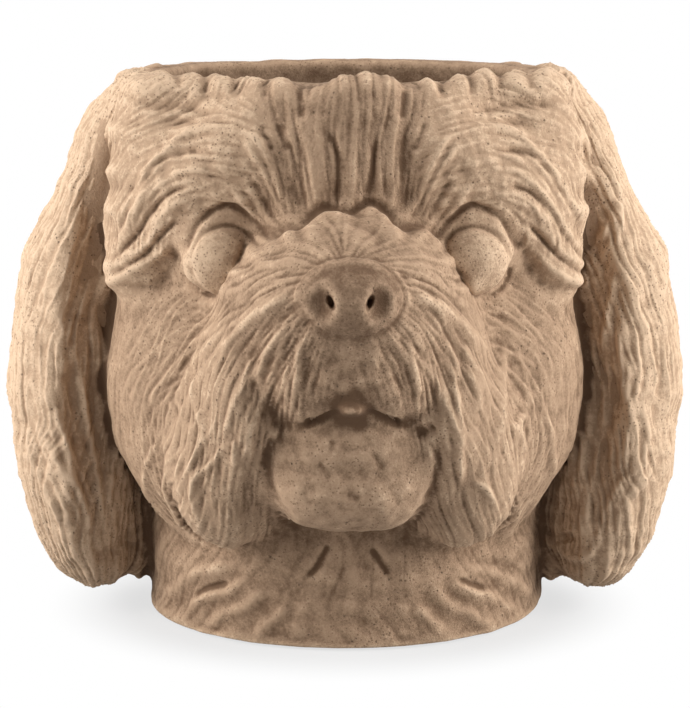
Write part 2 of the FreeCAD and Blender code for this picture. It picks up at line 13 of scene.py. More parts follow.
import bpy
import numpy as np
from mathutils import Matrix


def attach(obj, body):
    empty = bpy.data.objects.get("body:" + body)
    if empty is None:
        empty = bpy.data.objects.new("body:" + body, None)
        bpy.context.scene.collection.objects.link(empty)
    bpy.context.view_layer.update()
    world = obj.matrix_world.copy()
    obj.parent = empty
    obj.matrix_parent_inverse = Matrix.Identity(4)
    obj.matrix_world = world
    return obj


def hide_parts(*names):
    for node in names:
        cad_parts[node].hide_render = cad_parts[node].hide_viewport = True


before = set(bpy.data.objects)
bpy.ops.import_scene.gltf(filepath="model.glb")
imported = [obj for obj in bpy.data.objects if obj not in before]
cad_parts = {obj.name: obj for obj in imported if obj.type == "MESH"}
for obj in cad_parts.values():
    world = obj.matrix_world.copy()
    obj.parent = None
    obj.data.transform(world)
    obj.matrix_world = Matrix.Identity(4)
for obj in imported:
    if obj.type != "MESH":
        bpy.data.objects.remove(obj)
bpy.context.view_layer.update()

log = logging.getLogger("dog_planter")

Array = np.ndarray
Pair = tuple[float, float]
Triple = tuple[float, float, float]
Section = tuple[float, float, float, float]
MM = 0.001
FAR = 1000.0

# Least values that are divided by.
LEAST_SLOPE = 1e-6
LEAST_SUM = 1e-9

# Large numbers that scatter the corners of a lattice, and the bits that are kept of them.
SCATTER_COLUMN = 374761393
SCATTER_ROW = 668265263
SCATTER_SEED = 974634777
SCATTER_AGAIN = 1274126177
SCATTER_BITS = 32

# Noise: what brings it to about -1 to 1, how lumps lean from plane to plane, and what three planes add up to.
NOISE_GAIN = 1.5
LUMP_LEAN = 0.4
LUMP_SUM = 1.6

# Width and length of the broad waves, the strands and the single hairs of fur, in millimetres.
WAVE = (13.0, 90.0)
STRAND = (5.5, 60.0)
HAIR = (4.0, 40.0)

# How steep strands and hairs are, and their mean heights, which are taken off to keep fur even round 0.
STRAND_STEEPNESS = 1.9
HAIR_FINENESS = 0.16
STRAND_MEAN = 0.55
BROAD_MEAN = 0.6
HAIR_MEAN = 0.25

# Heights of the head's widest level, its rim and its underside, and its radius, all in millimetres.
EQUATOR = 144.0
RIM = EQUATOR + 84.0
SHOULDER = EQUATOR - 88.0
HEAD_RADIUS = 97.0


class Side(Enum):
    """The dog's own sides, with the sign of their X."""

    LEFT = 1
    RIGHT = -1

    @property
    def prefix(self) -> str:
        """Start of the names of this side's CAD nodes."""
        return self.name.lower()

    def mirror(self, place: Sequence[float]) -> Triple:
        """A place on this side, from the place that matches it on the left."""
        x, y, z = place
        return self.value * x, y, z

    def seed(self, base: int) -> int:
        """A seed of this side's own."""
        return base + 20 * self.value


class Body(Enum):
    """The bodies of the record."""

    POT = "pot"
    PLUG = "plug"


class Slot(Enum):
    """The material slots of the record."""

    STONE = "cast_stone"
    RUBBER = "plug_rubber"


def smoothstep(low: float, high: float, value: Array) -> Array:
    """Rise smoothly from 0 at low to 1 at high; low may be the greater."""
    share = np.clip((value - low) / (high - low), 0.0, 1.0)
    return share * share * (3.0 - 2.0 * share)


def on_wall(radius: float, degrees: float, height: float) -> Triple:
    """A place on the left, at an angle from the nose on a circle round the pot's axis."""
    turn = math.radians(degrees)
    return radius * math.sin(turn), -radius * math.cos(turn), height


def bump(value: Array, centre: float, width: float) -> Array:
    """Bell of height 1 round a centre."""
    return np.exp(-((value - centre) / width) ** 2)


def soft_min(first: Array, second: Array, blend: float) -> Array:
    """Smaller of two distances, with a fillet of about the blend's size where they cross."""
    share = np.clip(0.5 + 0.5 * (second - first) / blend, 0.0, 1.0)
    return second + (first - second) * share - blend * share * (1.0 - share)


def soft_max(first: Array, second: Array, blend: float) -> Array:
    """Greater of two distances, with the edge rounded by about the blend's size."""
    return -soft_min(-first, -second, blend)


def corner_angle(column: Array, row: Array, seed: int) -> Array:
    """Give each corner of a lattice a repeatable random angle.

    Args:
        column: Whole-number columns.
        row: Whole-number rows.
        seed: Chooses the pattern.

    Returns:
        Angles in radians.
    """
    mask = 2 ** SCATTER_BITS - 1
    mixed = (column * SCATTER_COLUMN + row * SCATTER_ROW + seed * SCATTER_SEED) & mask
    mixed = ((mixed ^ (mixed >> 13)) * SCATTER_AGAIN) & mask
    mixed ^= mixed >> 16
    return mixed * (2.0 * math.pi / 2 ** SCATTER_BITS)


def ease(share: Array) -> Array:
    """Rise from 0 to 1 with neither slope nor bend at the ends."""
    return share * share * share * (share * (share * 6.0 - 15.0) + 10.0)


def noise(across: Array, along: Array, seed: int) -> Array:
    """Smooth random field on a plane, about -1 to 1, with cells of size 1.

    Args:
        across: First coordinate in cells.
        along: Second coordinate in cells.
        seed: Chooses the pattern.

    Returns:
        The field's values.
    """
    column, row = np.floor(across).astype(np.int64), np.floor(along).astype(np.int64)
    x, y = across - column, along - row
    ease_x, ease_y = ease(x), ease(y)
    total = np.zeros_like(x)
    for i, weight_x in ((0, 1.0 - ease_x), (1, ease_x)):
        for j, weight_y in ((0, 1.0 - ease_y), (1, ease_y)):
            angle = corner_angle(column + i, row + j, seed)
            slope = np.cos(angle) * (x - i) + np.sin(angle) * (y - j)
            total += weight_x * weight_y * slope
    return total * NOISE_GAIN


def lumps(points: Array, size: float, seed: int) -> Array:
    """Random lumps in space, about -1 to 1.

    Args:
        points: Places in millimetres.
        size: Size of the lumps in millimetres.
        seed: Chooses the pattern.

    Returns:
        The values.
    """
    x, y, z = (points / size).T
    total = noise(x + LUMP_LEAN * z, y, seed)
    total = total + noise(y + LUMP_LEAN * x, z, seed + 1)
    total = total + noise(z, x + LUMP_LEAN * y, seed + 2)
    return total / LUMP_SUM


def locks(across: Array, along: Array, width: float, length: float, seed: int) -> Array:
    """Rounded strands with sharp grooves between them: 0 in a groove, about 1 on top."""
    field_value = np.abs(noise(across / width, along / length, seed))
    return 1.0 - (1.0 - np.clip(field_value * STRAND_STEEPNESS, 0.0, 1.0)) ** 2


def hairs(across: Array, along: Array, width: float, length: float, seed: int) -> Array:
    """Thin raised hairs on smooth ground: 0 between them, 1 on their crests."""
    return np.exp(-(noise(across / width, along / length, seed) / HAIR_FINENESS) ** 2)


def fur(across: Array, along: Array, seed: int, coarse: float, middle: float, fine: float,
        scale: float = 1.0) -> Array:
    """Fur as three sizes of strand on top of each other.

    Args:
        across: Millimetres across the strands.
        along: Millimetres along the strands.
        seed: Chooses the pattern.
        coarse: Height of the broad waves, mm.
        middle: Height of the strands, mm.
        fine: Height of the single hairs, mm.
        scale: Size of all strands against the usual size.

    Returns:
        Height in millimetres, about even round 0.
    """
    wave, strand, hair = ((width * scale, length * scale) for width, length in (WAVE, STRAND, HAIR))
    height = coarse * noise(across / wave[0], along / wave[1], seed)
    height += middle * (locks(across, along, *strand, seed + 7) - STRAND_MEAN)
    height += fine * (hairs(across, along, *hair, seed + 13) - HAIR_MEAN)
    return height


class Form(ABC):
    """A mass with a distance that is negative inside it."""

    @abstractmethod
    def distance(self, points: Array) -> Array:
        """Distance of each point from the surface, in millimetres."""

    @abstractmethod
    def corners(self) -> tuple[Array, Array]:
        """Lowest and highest corner of a box that holds the form."""


@dataclass(frozen=True)
class Ellipsoid(Form):
    """An ellipsoid turned by yaw about Z, then pitch about its Y, then roll about its X, in degrees.

    A squareness above 2 makes it boxier.
    """

    centre: Triple
    radii: Triple
    turn: Triple = (0.0, 0.0, 0.0)
    squareness: float = 2.0

    def axes(self) -> Array:
        """Its own axes as the columns of a matrix.

        Returns:
            A matrix of three rows and columns.
        """
        yaw, pitch, roll = (math.radians(angle) for angle in self.turn)
        cz, sz, cy, sy, cx, sx = (
            math.cos(yaw), math.sin(yaw), math.cos(pitch), math.sin(pitch), math.cos(roll), math.sin(roll))
        about_z = np.array([[cz, -sz, 0.0], [sz, cz, 0.0], [0.0, 0.0, 1.0]])
        about_y = np.array([[cy, 0.0, sy], [0.0, 1.0, 0.0], [-sy, 0.0, cy]])
        about_x = np.array([[1.0, 0.0, 0.0], [0.0, cx, -sx], [0.0, sx, cx]])
        return about_z @ about_y @ about_x

    def distance(self, points: Array) -> Array:
        """Near-true distance from the surface.

        Args:
            points: Places in millimetres.

        Returns:
            Distances in millimetres, negative inside.
        """
        own = (points - np.array(self.centre)) @ self.axes()
        radii = np.array(self.radii)
        power = self.squareness
        share = np.abs(own) / radii
        scaled = np.maximum(np.sum(share ** power, axis=1), LEAST_SUM) ** (1.0 / power)
        steep = np.linalg.norm((share / scaled[:, None]) ** (power - 1.0) / radii, axis=1)
        return (scaled - 1.0) / np.maximum(steep, LEAST_SLOPE)

    def on(self, side: Side) -> "Ellipsoid":
        """This form on a side of the dog, from the one on the left."""
        turn = (side.value * self.turn[0], side.value * self.turn[1], self.turn[2])
        return replace(self, centre=side.mirror(self.centre), turn=turn)

    def moved(self, way: Triple) -> "Ellipsoid":
        """This form elsewhere."""
        return replace(self, centre=tuple(np.array(self.centre) + way))

    def corners(self) -> tuple[Array, Array]:
        """A box round the ellipsoid as it is turned."""
        reach = np.sqrt(np.sum((self.axes() * np.array(self.radii)) ** 2, axis=1))
        return np.array(self.centre) - reach, np.array(self.centre) + reach


@dataclass(frozen=True)
class Ring:
    """A tube bent into an upright circle, whose plane is turned by a yaw in radians."""

    centre: Triple
    yaw: float
    radius: float
    tube: float

    def distance(self, points: Array) -> Array:
        """Distance from the tube.

        Args:
            points: Places in millimetres.

        Returns:
            Distances in millimetres, negative inside.
        """
        side, ahead, rise = (points - np.array(self.centre)).T
        out = side * math.cos(self.yaw) + ahead * math.sin(self.yaw)
        off = ahead * math.cos(self.yaw) - side * math.sin(self.yaw)
        return np.hypot(np.hypot(out, rise) - self.radius, off) - self.tube


@dataclass(frozen=True)
class EarLobe(Form):
    """A hanging lobe lofted through level ellipses, with furrows cut down it and all edges rounded."""

    side: Side
    heights: Array
    middles: Array
    widths: Array
    depths: Array
    centre_y: float
    tip: float
    furrows: tuple[Ring, ...]
    rounding: float = 12.0
    tip_lift: float = 2.0
    top_margin: float = 8.0

    def at(self, heights: Array, values: Array) -> Array:
        """Value of one of the lobe's sizes at given heights."""
        return np.interp(heights, self.heights, values)

    def distance(self, points: Array) -> Array:
        """Near-true distance from the lobe, rounded at its tip.

        Args:
            points: Places in millimetres.

        Returns:
            Distances in millimetres, negative inside.
        """
        x, y, z = points.T
        width, depth = self.at(z, self.widths), self.at(z, self.depths)
        across = x * self.side.value - self.at(z, self.middles)
        forward = y - self.centre_y
        scaled = np.hypot(across / width, forward / depth)
        steep = np.hypot(across / width ** 2, forward / depth ** 2)
        level = scaled * (scaled - 1.0) / np.maximum(steep, LEAST_SLOPE)
        total = soft_max(level, self.tip + self.tip_lift - z, self.rounding)
        own = points * np.array([self.side.value, 1.0, 1.0])
        for furrow in self.furrows:
            total = soft_max(total, -furrow.distance(own), self.rounding)
        return total

    def corners(self) -> tuple[Array, Array]:
        """A box round all sections.

        Returns:
            Its lowest and highest corner.
        """
        outer = (self.middles + self.widths).max()
        inner = (self.middles - self.widths).min()
        ends = sorted((outer * self.side.value, inner * self.side.value))
        deep = self.depths.max()
        return (np.array([ends[0], self.centre_y - deep, self.tip - self.tip_lift]),
                np.array([ends[1], self.centre_y + deep, self.heights.max() + self.top_margin]))


@dataclass(frozen=True)
class Mass:
    """One modelled mass of the casting.

    relief gives the height of its fur at points of the surface, and patina how much paler it is painted,
    below 0 darker: partly weathering, partly painted light and painted shade.
    """

    node: str
    form: Form
    blend: float
    relief: Callable[[Array], Array]
    patina: float = 0.0


@dataclass(frozen=True)
class Carving:
    """A hollow cut into the masses."""

    form: Form
    blend: float


class Part(ABC):
    """A sub-assembly of the casting."""

    @abstractmethod
    def masses(self) -> list[Mass]:
        """The masses that it adds."""

    def carvings(self) -> list[Carving]:
        """The hollows that it cuts."""
        return []


def round_angle(points: Array) -> Array:
    """Angle round the pot's axis from the nose towards the dog's left."""
    return np.arctan2(points[:, 0], -points[:, 1])


@dataclass(frozen=True)
class Vessel:
    """The turned pot under the fur: wall, planting space, foot and drain hole, and the ruff on its neck.

    Tufts of the rim have their degrees from the nose, their width in degrees and their height. Pairs say
    where something starts and where it is complete.
    """

    rim: float = RIM
    equator: float = EQUATOR
    shoulder: float = SHOULDER
    rim_radius: float = 92.0
    head_radius: float = HEAD_RADIUS
    shoulder_radius: float = 85.0
    foot_radius: float = 83.0
    neck_radius: float = 77.3
    mouth_radius: float = 76.0
    mouth_foot: float = RIM - 70.0
    floor: float = 25.0
    floor_radius: float = 59.0
    recess: float = 5.0
    recess_radius: float = 62.0
    drain_radius: float = 11.4
    drain_foot_radius: float = 9.4
    ruff_lift: float = 1.0
    coat_spacing: float = 24.0
    coat_radii: Triple = (5.5, 3.0, 40.0)
    coat_rise: float = 40.0
    coat_edge: float = 2.0
    headroom: float = 8.0
    floor_fillet: float = 5.0
    drain_reach: float = 6.0
    tufts: tuple[Triple, ...] = ((5.0, 8.0, 1.6), (-9.0, 5.0, -2.6), (17.0, 4.0, -2.0))
    tuft_front: Pair = (105.0, 75.0)
    tuft_edge: Pair = (80.0, 94.0)
    fur_radius: float = 95.0
    fur_heights: Triple = (1.4, 0.7, 0.35)
    fur_back: Pair = (80.0, 110.0)
    bare_band: Pair = (16.0, 5.0)
    bare_share: float = 0.9
    ruff_radius: float = 84.0
    ruff_middle: float = 30.0
    ruff_fan: float = 0.9

    def wall_radius(self, z: Array) -> Array:
        """Radius of the outside at each height.

        Args:
            z: Heights in millimetres.

        Returns:
            Radii in millimetres.
        """
        lower_drop = self.head_radius - self.shoulder_radius
        lower = (lower_drop ** 2 + (self.equator - self.shoulder) ** 2) / (2.0 * lower_drop)
        upper_drop = self.head_radius - self.rim_radius
        upper = (upper_drop ** 2 + (self.rim - self.equator) ** 2) / (2.0 * upper_drop)
        bend = np.where(z < self.equator, lower, upper)
        rise = np.clip(z, self.shoulder, self.rim + self.headroom) - self.equator
        head = self.head_radius - bend + np.sqrt(bend ** 2 - rise ** 2)
        ruff = self.foot_radius + (self.shoulder_radius - self.foot_radius) * z / self.shoulder
        return np.where(z < self.shoulder, ruff, head)

    def wall(self, points: Array) -> Array:
        """Distance from the turned outside with its coat."""
        turned = np.hypot(points[:, 0], points[:, 1]) - self.wall_radius(points[:, 2])
        return soft_max(turned, -self.coat(points, turned), self.coat_edge)

    def coat(self, points: Array, turned: Array) -> Array:
        """Distance from the furrows behind the ears, negative inside them.

        Args:
            points: Places in millimetres.
            turned: Their distance from the turned wall.

        Returns:
            Distance from the nearest furrow of an upper row and of a lower row that lies between.
        """
        back = np.mod(round_angle(points), 2.0 * math.pi) - math.pi
        step = self.coat_spacing / self.head_radius
        nearest = np.full(len(points), FAR)
        for rise, shift, most in ((self.coat_rise, 0.0, 4.0), (-self.coat_rise, 0.5, 3.5)):
            place = np.clip(np.round(back / step - shift) + shift, -most, most) * step
            along = points[:, 2] - self.equator - rise
            own = np.stack([(back - place) * self.head_radius, turned, along], axis=1)
            share = own / np.array(self.coat_radii)
            scaled = np.linalg.norm(share, axis=1)
            steep = np.linalg.norm(share / np.array(self.coat_radii), axis=1)
            nearest = np.minimum(nearest, scaled * (scaled - 1.0) / np.maximum(steep, LEAST_SLOPE))
        return nearest

    def top(self, points: Array) -> Array:
        """Height of the rim, with the tufts of its front edge.

        Args:
            points: Places in millimetres.

        Returns:
            Heights in millimetres.
        """
        angle = np.degrees(round_angle(points))
        front = smoothstep(*self.tuft_front, np.abs(angle))
        outer = smoothstep(*self.tuft_edge, np.hypot(points[:, 0], points[:, 1]))
        tufts = np.ones(len(points))
        for degrees, width, height in self.tufts:
            tufts += height * bump(angle, degrees, width)
        tufts += 1.2 * noise(angle / 8.0, np.zeros_like(angle), 31)
        return self.rim - 1.0 + front * (0.3 + 0.7 * outer) * tufts + 0.4 * lumps(points, 16.0, 33)

    def space(self, points: Array) -> Array:
        """Distance from the planting space, negative inside it.

        Args:
            points: Places in millimetres.

        Returns:
            Distances in millimetres.
        """
        radius, z = np.hypot(points[:, 0], points[:, 1]), points[:, 2]
        share = np.clip((z - self.floor) / (self.mouth_foot - self.floor), 0.0, 1.0)
        side = self.floor_radius + (self.mouth_radius - self.floor_radius) * share
        return soft_max(radius - side, self.floor - z, self.floor_fillet)

    def underside(self, points: Array) -> Array:
        """Distance from the hollow underneath and the drain hole, negative inside them.

        Args:
            points: Places in millimetres.

        Returns:
            Distances in millimetres.
        """
        radius, z = np.hypot(points[:, 0], points[:, 1]), points[:, 2]
        hollow = np.maximum(radius - self.recess_radius, z - self.recess)
        share = (z - self.recess) / (self.floor - self.recess)
        bore = self.drain_foot_radius + (self.drain_radius - self.drain_foot_radius) * share
        return np.minimum(hollow, np.maximum(radius - bore, z - self.floor - self.drain_reach))

    def relief(self, points: Array) -> Array:
        """Wavy fur round the back and the sides of the head, dying out below the back of the rim.

        Args:
            points: Places in millimetres.

        Returns:
            Heights in millimetres.
        """
        z = points[:, 2]
        angle = round_angle(points)
        across = angle * self.fur_radius + 8.0 * lumps(points, 45.0, 41) + 3.5 * lumps(points, 19.0, 47)
        height = fur(across, z, 43, *self.fur_heights) + lumps(points, 20.0, 45)
        behind = smoothstep(*self.fur_back, np.degrees(np.abs(angle)))
        start, end = (self.rim - below for below in self.bare_band)
        return height * (1.0 - self.bare_share * behind * smoothstep(start, end, z))

    def ruff_relief(self, points: Array) -> Array:
        """Low lumpy locks of the neck that fan out from the middle.

        Args:
            points: Places in millimetres.

        Returns:
            Heights in millimetres.
        """
        z = points[:, 2]
        angle = round_angle(points)
        fan = np.sign(angle) * smoothstep(0.0, 1.0, np.abs(angle)) * (z - self.ruff_middle) * self.ruff_fan
        across = angle * self.ruff_radius + fan + 6.0 * lumps(points, 30.0, 51)
        height = 0.6 * noise(across / 16.0, z / 60.0, 53)
        height = height + 0.3 * (locks(across, z, 8.0, 50.0, 55) - BROAD_MEAN)
        return height + lumps(points, 20.0, 59) + 0.5 * lumps(points, 8.0, 61)


@dataclass(frozen=True)
class Ear(Part):
    """A long hanging ear.

    Sections run from the root to the tip: shares of length, flare, depth and bed. Furrows have their degrees
    round the lobe, how closely they follow it, and the width and depth of the tool; the last is the valley.
    The rounding of its edges deepens a furrow, so that a tool's depth can be below 0. Layers are the sizes
    and heights of lumps. Steps are waves down the lobe: their rise over the step's height, width and height.
    """

    side: Side
    rim: float = RIM
    tip: float = 7.0
    head_radius: float = HEAD_RADIUS
    flare: float = 46.0
    depth: float = 94.0
    bed: float = 11.0
    centre_y: float = -6.0
    valley: float = 100.0
    valley_depth: float = 3.2
    valley_width: float = 8.5
    valley_front: Pair = (-14.0, -34.0)
    valley_foot: Pair = (38.0, 75.0)
    valley_top: Pair = (RIM + 4.0, RIM - 14.0)
    strand_radius: float = 38.0
    strand_lean: float = 0.14
    lean_height: float = 130.0
    fur_heights: Triple = (0.8, 0.85, 0.45)
    layers: tuple[Pair, ...] = ((22.0, 1.0), (9.0, 0.75), (4.5, 0.4))
    steps: tuple[Triple, ...] = ((0.0, 9.0, 2.0), (30.0, 18.0, -2.2))
    step_face: Pair = (0.2, 0.8)
    levels: int = 241
    easing: int = 9
    step_height: float = EQUATOR + 8.0
    web: Ellipsoid = Ellipsoid((88.0, -8.0, 43.0), (8.0, 15.0, 32.0))
    furrow_level: float = 0.62
    furrows: tuple[Section, ...] = (
        (-80.0, 0.9, 12.0, 1.0), (-32.0, 0.83, 12.0, 1.0), (15.0, 0.83, 12.0, 0.0), (62.0, 0.9, 12.0, -3.0),
        (112.0, 0.9, 18.0, 2.5))
    sections: tuple[Section, ...] = (
        (0.00, -0.08, 0.50, 2.1), (0.09, 0.29, 0.68, 1.5), (0.23, 0.57, 0.80, 1.2),
        (0.38, 0.86, 0.92, 1.0), (0.57, 1.00, 1.00, 1.0), (0.76, 0.93, 0.96, 1.0),
        (0.89, 0.74, 0.77, 0.9), (0.97, 0.49, 0.50, 0.5), (1.00, 0.32, 0.26, 0.0))

    def lobe(self) -> EarLobe:
        """Loft the sections, eased between them.

        Returns:
            The lobe with its furrows.
        """
        share, flare, depth, bed = np.array(self.sections).T
        fine = np.linspace(0.0, 1.0, self.levels)
        kernel = np.hanning(2 * self.easing + 1)
        kernel /= kernel.sum()

        def eased(values: Array) -> Array:
            """Interpolate and round the corners off."""
            padded = np.pad(np.interp(fine, share, values), self.easing, mode="edge")
            return np.convolve(padded, kernel, mode="valid")

        outer = self.head_radius + self.flare * eased(flare)
        inner = self.head_radius - self.bed * eased(bed)
        heights = self.rim - fine * (self.rim - self.tip)
        order = slice(None, None, -1)
        return EarLobe(
            self.side, heights[order], ((outer + inner) / 2.0)[order], ((outer - inner) / 2.0)[order],
            (self.depth / 2.0 * eased(depth))[order], self.centre_y, self.tip, self.rings())

    def edge(self, section: Section, turn: float) -> Array:
        """X and Y of a point round one section.

        Args:
            section: One of the sections.
            turn: Radians from its outer end towards the front.

        Returns:
            Millimetres, on the left ear.
        """
        _, flare, spread, bed = section
        outer, inner = self.head_radius + flare * self.flare, self.head_radius - bed * self.bed
        return np.array([(outer + inner) / 2.0 + (outer - inner) / 2.0 * math.cos(turn),
                         self.centre_y - spread * self.depth / 2.0 * math.sin(turn)])

    def rings(self) -> tuple[Ring, ...]:
        """The tools that cut the furrows, as on the solid ear.

        Returns:
            One ring for each furrow, on the left ear.
        """
        upper, widest = self.sections[2], self.sections[4]
        length = self.rim - self.tip
        reach = (self.furrow_level - upper[0]) * length
        made = []
        for degrees, fit, width, depth in self.furrows:
            turn = math.radians(degrees)
            yaw = math.atan2(-math.sin(turn) * (self.flare + self.bed), math.cos(turn) * self.depth)
            out = np.array([math.cos(yaw), math.sin(yaw)])
            drop = fit * float((self.edge(widest, turn) - self.edge(upper, turn)) @ out)
            radius = (reach ** 2 + drop ** 2) / (2.0 * drop)
            x, y = self.edge(widest, turn) + out * (width / 2.0 - depth - radius)
            made.append(Ring((x, y, self.rim - self.furrow_level * length), yaw, radius, width / 2.0))
        return tuple(made)

    def relief(self, points: Array) -> Array:
        """Long wavy strands, with a valley between the lobe and the cheek.

        Args:
            points: Places in millimetres.

        Returns:
            Heights in millimetres.
        """
        lobe = self.lobe()
        x, y, z = points.T
        seed = self.side.seed(70)
        outward = x * self.side.value
        turn = np.arctan2(self.centre_y - y, outward - lobe.at(z, lobe.middles))
        across = turn * self.strand_radius + self.strand_lean * (self.lean_height - z)
        across = across + 9.0 * lumps(points, 55.0, seed)
        height = fur(across + 3.0 * lumps(points, 20.0, seed + 3), z, seed + 5, *self.fur_heights)
        valley = bump(outward, self.valley, self.valley_width) * smoothstep(*self.valley_front, y)
        valley *= smoothstep(*self.valley_foot, z) * smoothstep(*self.valley_top, z)
        for size, most in self.layers:
            height += most * lumps(points, size, seed + round(size))
        step = np.zeros(len(points))
        for rise, width, most in self.steps:
            step += most * bump(z, self.step_height + rise, width)
        return height + step * smoothstep(*self.step_face, np.cos(turn)) - self.valley_depth * valley

    def masses(self) -> list[Mass]:
        """The lobe, and the web that joins its lower end to the neck.

        Returns:
            The masses in their order.
        """
        node = f"{self.side.prefix}_ear"
        # The lobe is painted paler, partly as weathering and partly as painted light for the side lamps that
        # light the ears; the web is painted darker.
        return [
            Mass(node, self.lobe(), blend=3.0, relief=self.relief, patina=0.22),
            Mass(node, self.web.on(self.side), blend=5.0, relief=self.relief, patina=-0.1),
        ]


@dataclass(frozen=True)
class Brow(Part):
    """The rolls of hair over an eye, and the hair that leads from them to the temple.

    Layers are the sizes and heights of lumps.
    """

    side: Side
    radius: float = 90.0
    angle: float = 42.0
    height: float = RIM - 44.0
    radii: Triple = (51.0, 22.0, 26.0)
    slope: float = 33.0
    temple: Ellipsoid = Ellipsoid((68.0, -50.0, RIM - 28.0), (25.0, 30.0, 40.0))
    end: Ellipsoid = Ellipsoid((81.0, -54.0, EQUATOR + 6.0), (13.0, 15.0, 12.0))
    eye_angle: float = 29.7
    eye_height: float = EQUATOR + 16.0
    strand_radius: float = 100.0
    strand_arc: float = 45.0
    fur_heights: Triple = (0.35, 0.55, 0.3)
    fur_scale: float = 0.6
    fur_foot: Pair = (-14.0, 6.0)
    layers: tuple[Pair, ...] = ((18.0, 0.8), (7.0, 0.5), (3.6, 0.3))

    def relief(self, points: Array) -> Array:
        """Low strands that arch over the eye.

        Args:
            points: Places in millimetres.

        Returns:
            Heights in millimetres.
        """
        seed = self.side.seed(130)
        turn = round_angle(points) * self.side.value - math.radians(self.eye_angle)
        out, rise = turn * self.strand_radius, points[:, 2] - self.eye_height
        around = np.arctan2(out, rise)
        across = np.hypot(out, rise) + 5.0 * lumps(points, 30.0, seed)
        height = fur(across, around * self.strand_arc, seed + 3, *self.fur_heights, self.fur_scale)
        height *= smoothstep(*self.fur_foot, rise)
        for size, most in self.layers:
            height += most * lumps(points, size, seed + round(size))
        return height

    def masses(self) -> list[Mass]:
        """The temple, the roll and the roll's outer end.

        Returns:
            The masses in their order.
        """
        centre = on_wall(self.radius, self.angle, self.height)
        roll = Ellipsoid(centre, self.radii, (self.angle, self.slope, 0.0))
        forms = [form.on(self.side) for form in (self.temple, roll, self.end)]
        node = f"{self.side.prefix}_brow"
        # The brow is painted paler, partly as weathering and partly as painted light on its lit tops.
        return [Mass(node, form, blend=12.0, relief=self.relief, patina=0.11) for form in forms]


@dataclass(frozen=True)
class Eye(Part):
    """An eyeball and the lid that hoods it, thick above and thin at the side."""

    side: Side
    centre: Triple = (49.0, -86.0, EQUATOR + 16.0)
    radius: float = 15.2
    lid_shift: Triple = (-0.6, 4.4, 5.6)
    lid_radii: Triple = (18.5, 15.0, 18.0)
    wear_size: float = 7.0

    def ball_relief(self, points: Array) -> Array:
        """A trace of unevenness."""
        return 0.25 * lumps(points, self.wear_size, 171)

    def lid_relief(self, points: Array) -> Array:
        """Soft wear on the lid."""
        return 0.5 * lumps(points, self.wear_size, 175)

    def masses(self) -> list[Mass]:
        """The eyeball and its lid.

        Returns:
            The masses in their order.
        """
        lid = Ellipsoid(self.centre, self.lid_radii).moved(self.lid_shift).on(self.side)
        ball = Ellipsoid(self.centre, (self.radius, self.radius, self.radius)).on(self.side)
        # Painted light: the eyeball is painted paler, against the shade that the brow and the lid cast on it.
        return [
            Mass(f"{self.side.prefix}_eyelid", lid, blend=4.0, relief=self.lid_relief),
            Mass(f"{self.side.prefix}_eye", ball, blend=0.8, relief=self.ball_relief, patina=0.14),
        ]


@dataclass(frozen=True)
class Forelock(Part):
    """The tuft on the forehead."""

    tuft: Ellipsoid = Ellipsoid((0.0, -82.0, RIM - 30.0), (36.0, 25.0, 46.0))
    foot: float = RIM - 64.0
    foot_share: float = 0.65
    fur_heights: Triple = (0.6, 0.4, 0.25)
    fur_scale: float = 0.8

    def relief(self, points: Array) -> Array:
        """Upright strands that close in downwards.

        Args:
            points: Places in millimetres.

        Returns:
            Heights in millimetres.
        """
        x, _, z = points.T
        spread = self.foot_share + (1.0 - self.foot_share) * smoothstep(self.foot, RIM, z)
        across = x / spread + 3.0 * lumps(points, 28.0, 191)
        return fur(across, z, 193, *self.fur_heights, self.fur_scale) + 0.7 * lumps(points, 14.0, 197)

    def masses(self) -> list[Mass]:
        """The tuft."""
        return [Mass("forelock", self.tuft, blend=14.0, relief=self.relief, patina=-0.16)]


@dataclass(frozen=True)
class Parting:
    """Hair that parts over the nose and falls on both sides, over the muzzle and the jowls."""

    height: float = EQUATOR + 9.0
    spread: float = 40.0
    ring: float = 10.0
    ring_share: float = 0.3
    side_shift: float = 200.0
    fur_scale: float = 0.9
    seed: int = 213

    def flow(self, points: Array) -> tuple[Array, Array]:
        """Coordinates across and along the hair.

        Args:
            points: Places in millimetres.

        Returns:
            Millimetres across the hair and along it.
        """
        x, _, z = points.T
        drop = self.height - z
        across = np.abs(x) + self.spread * np.arctan2(np.abs(x), drop)
        along = drop + self.spread * np.log(np.hypot(x, drop) / self.ring + self.ring_share)
        return across + self.side_shift * (x < 0.0), along

    def relief(self, points: Array, heights: Triple) -> Array:
        """Strands of three sizes.

        Args:
            points: Places in millimetres.
            heights: Heights of the waves, the strands and the hairs.

        Returns:
            Heights in millimetres.
        """
        across, along = self.flow(points)
        across = across + 5.0 * lumps(points, 34.0, self.seed + 21)
        return fur(across, along, self.seed, *heights, self.fur_scale)


# How far the muzzle and the nose are turned upwards.
MUZZLE_TURN = (0.0, 0.0, -12.0)


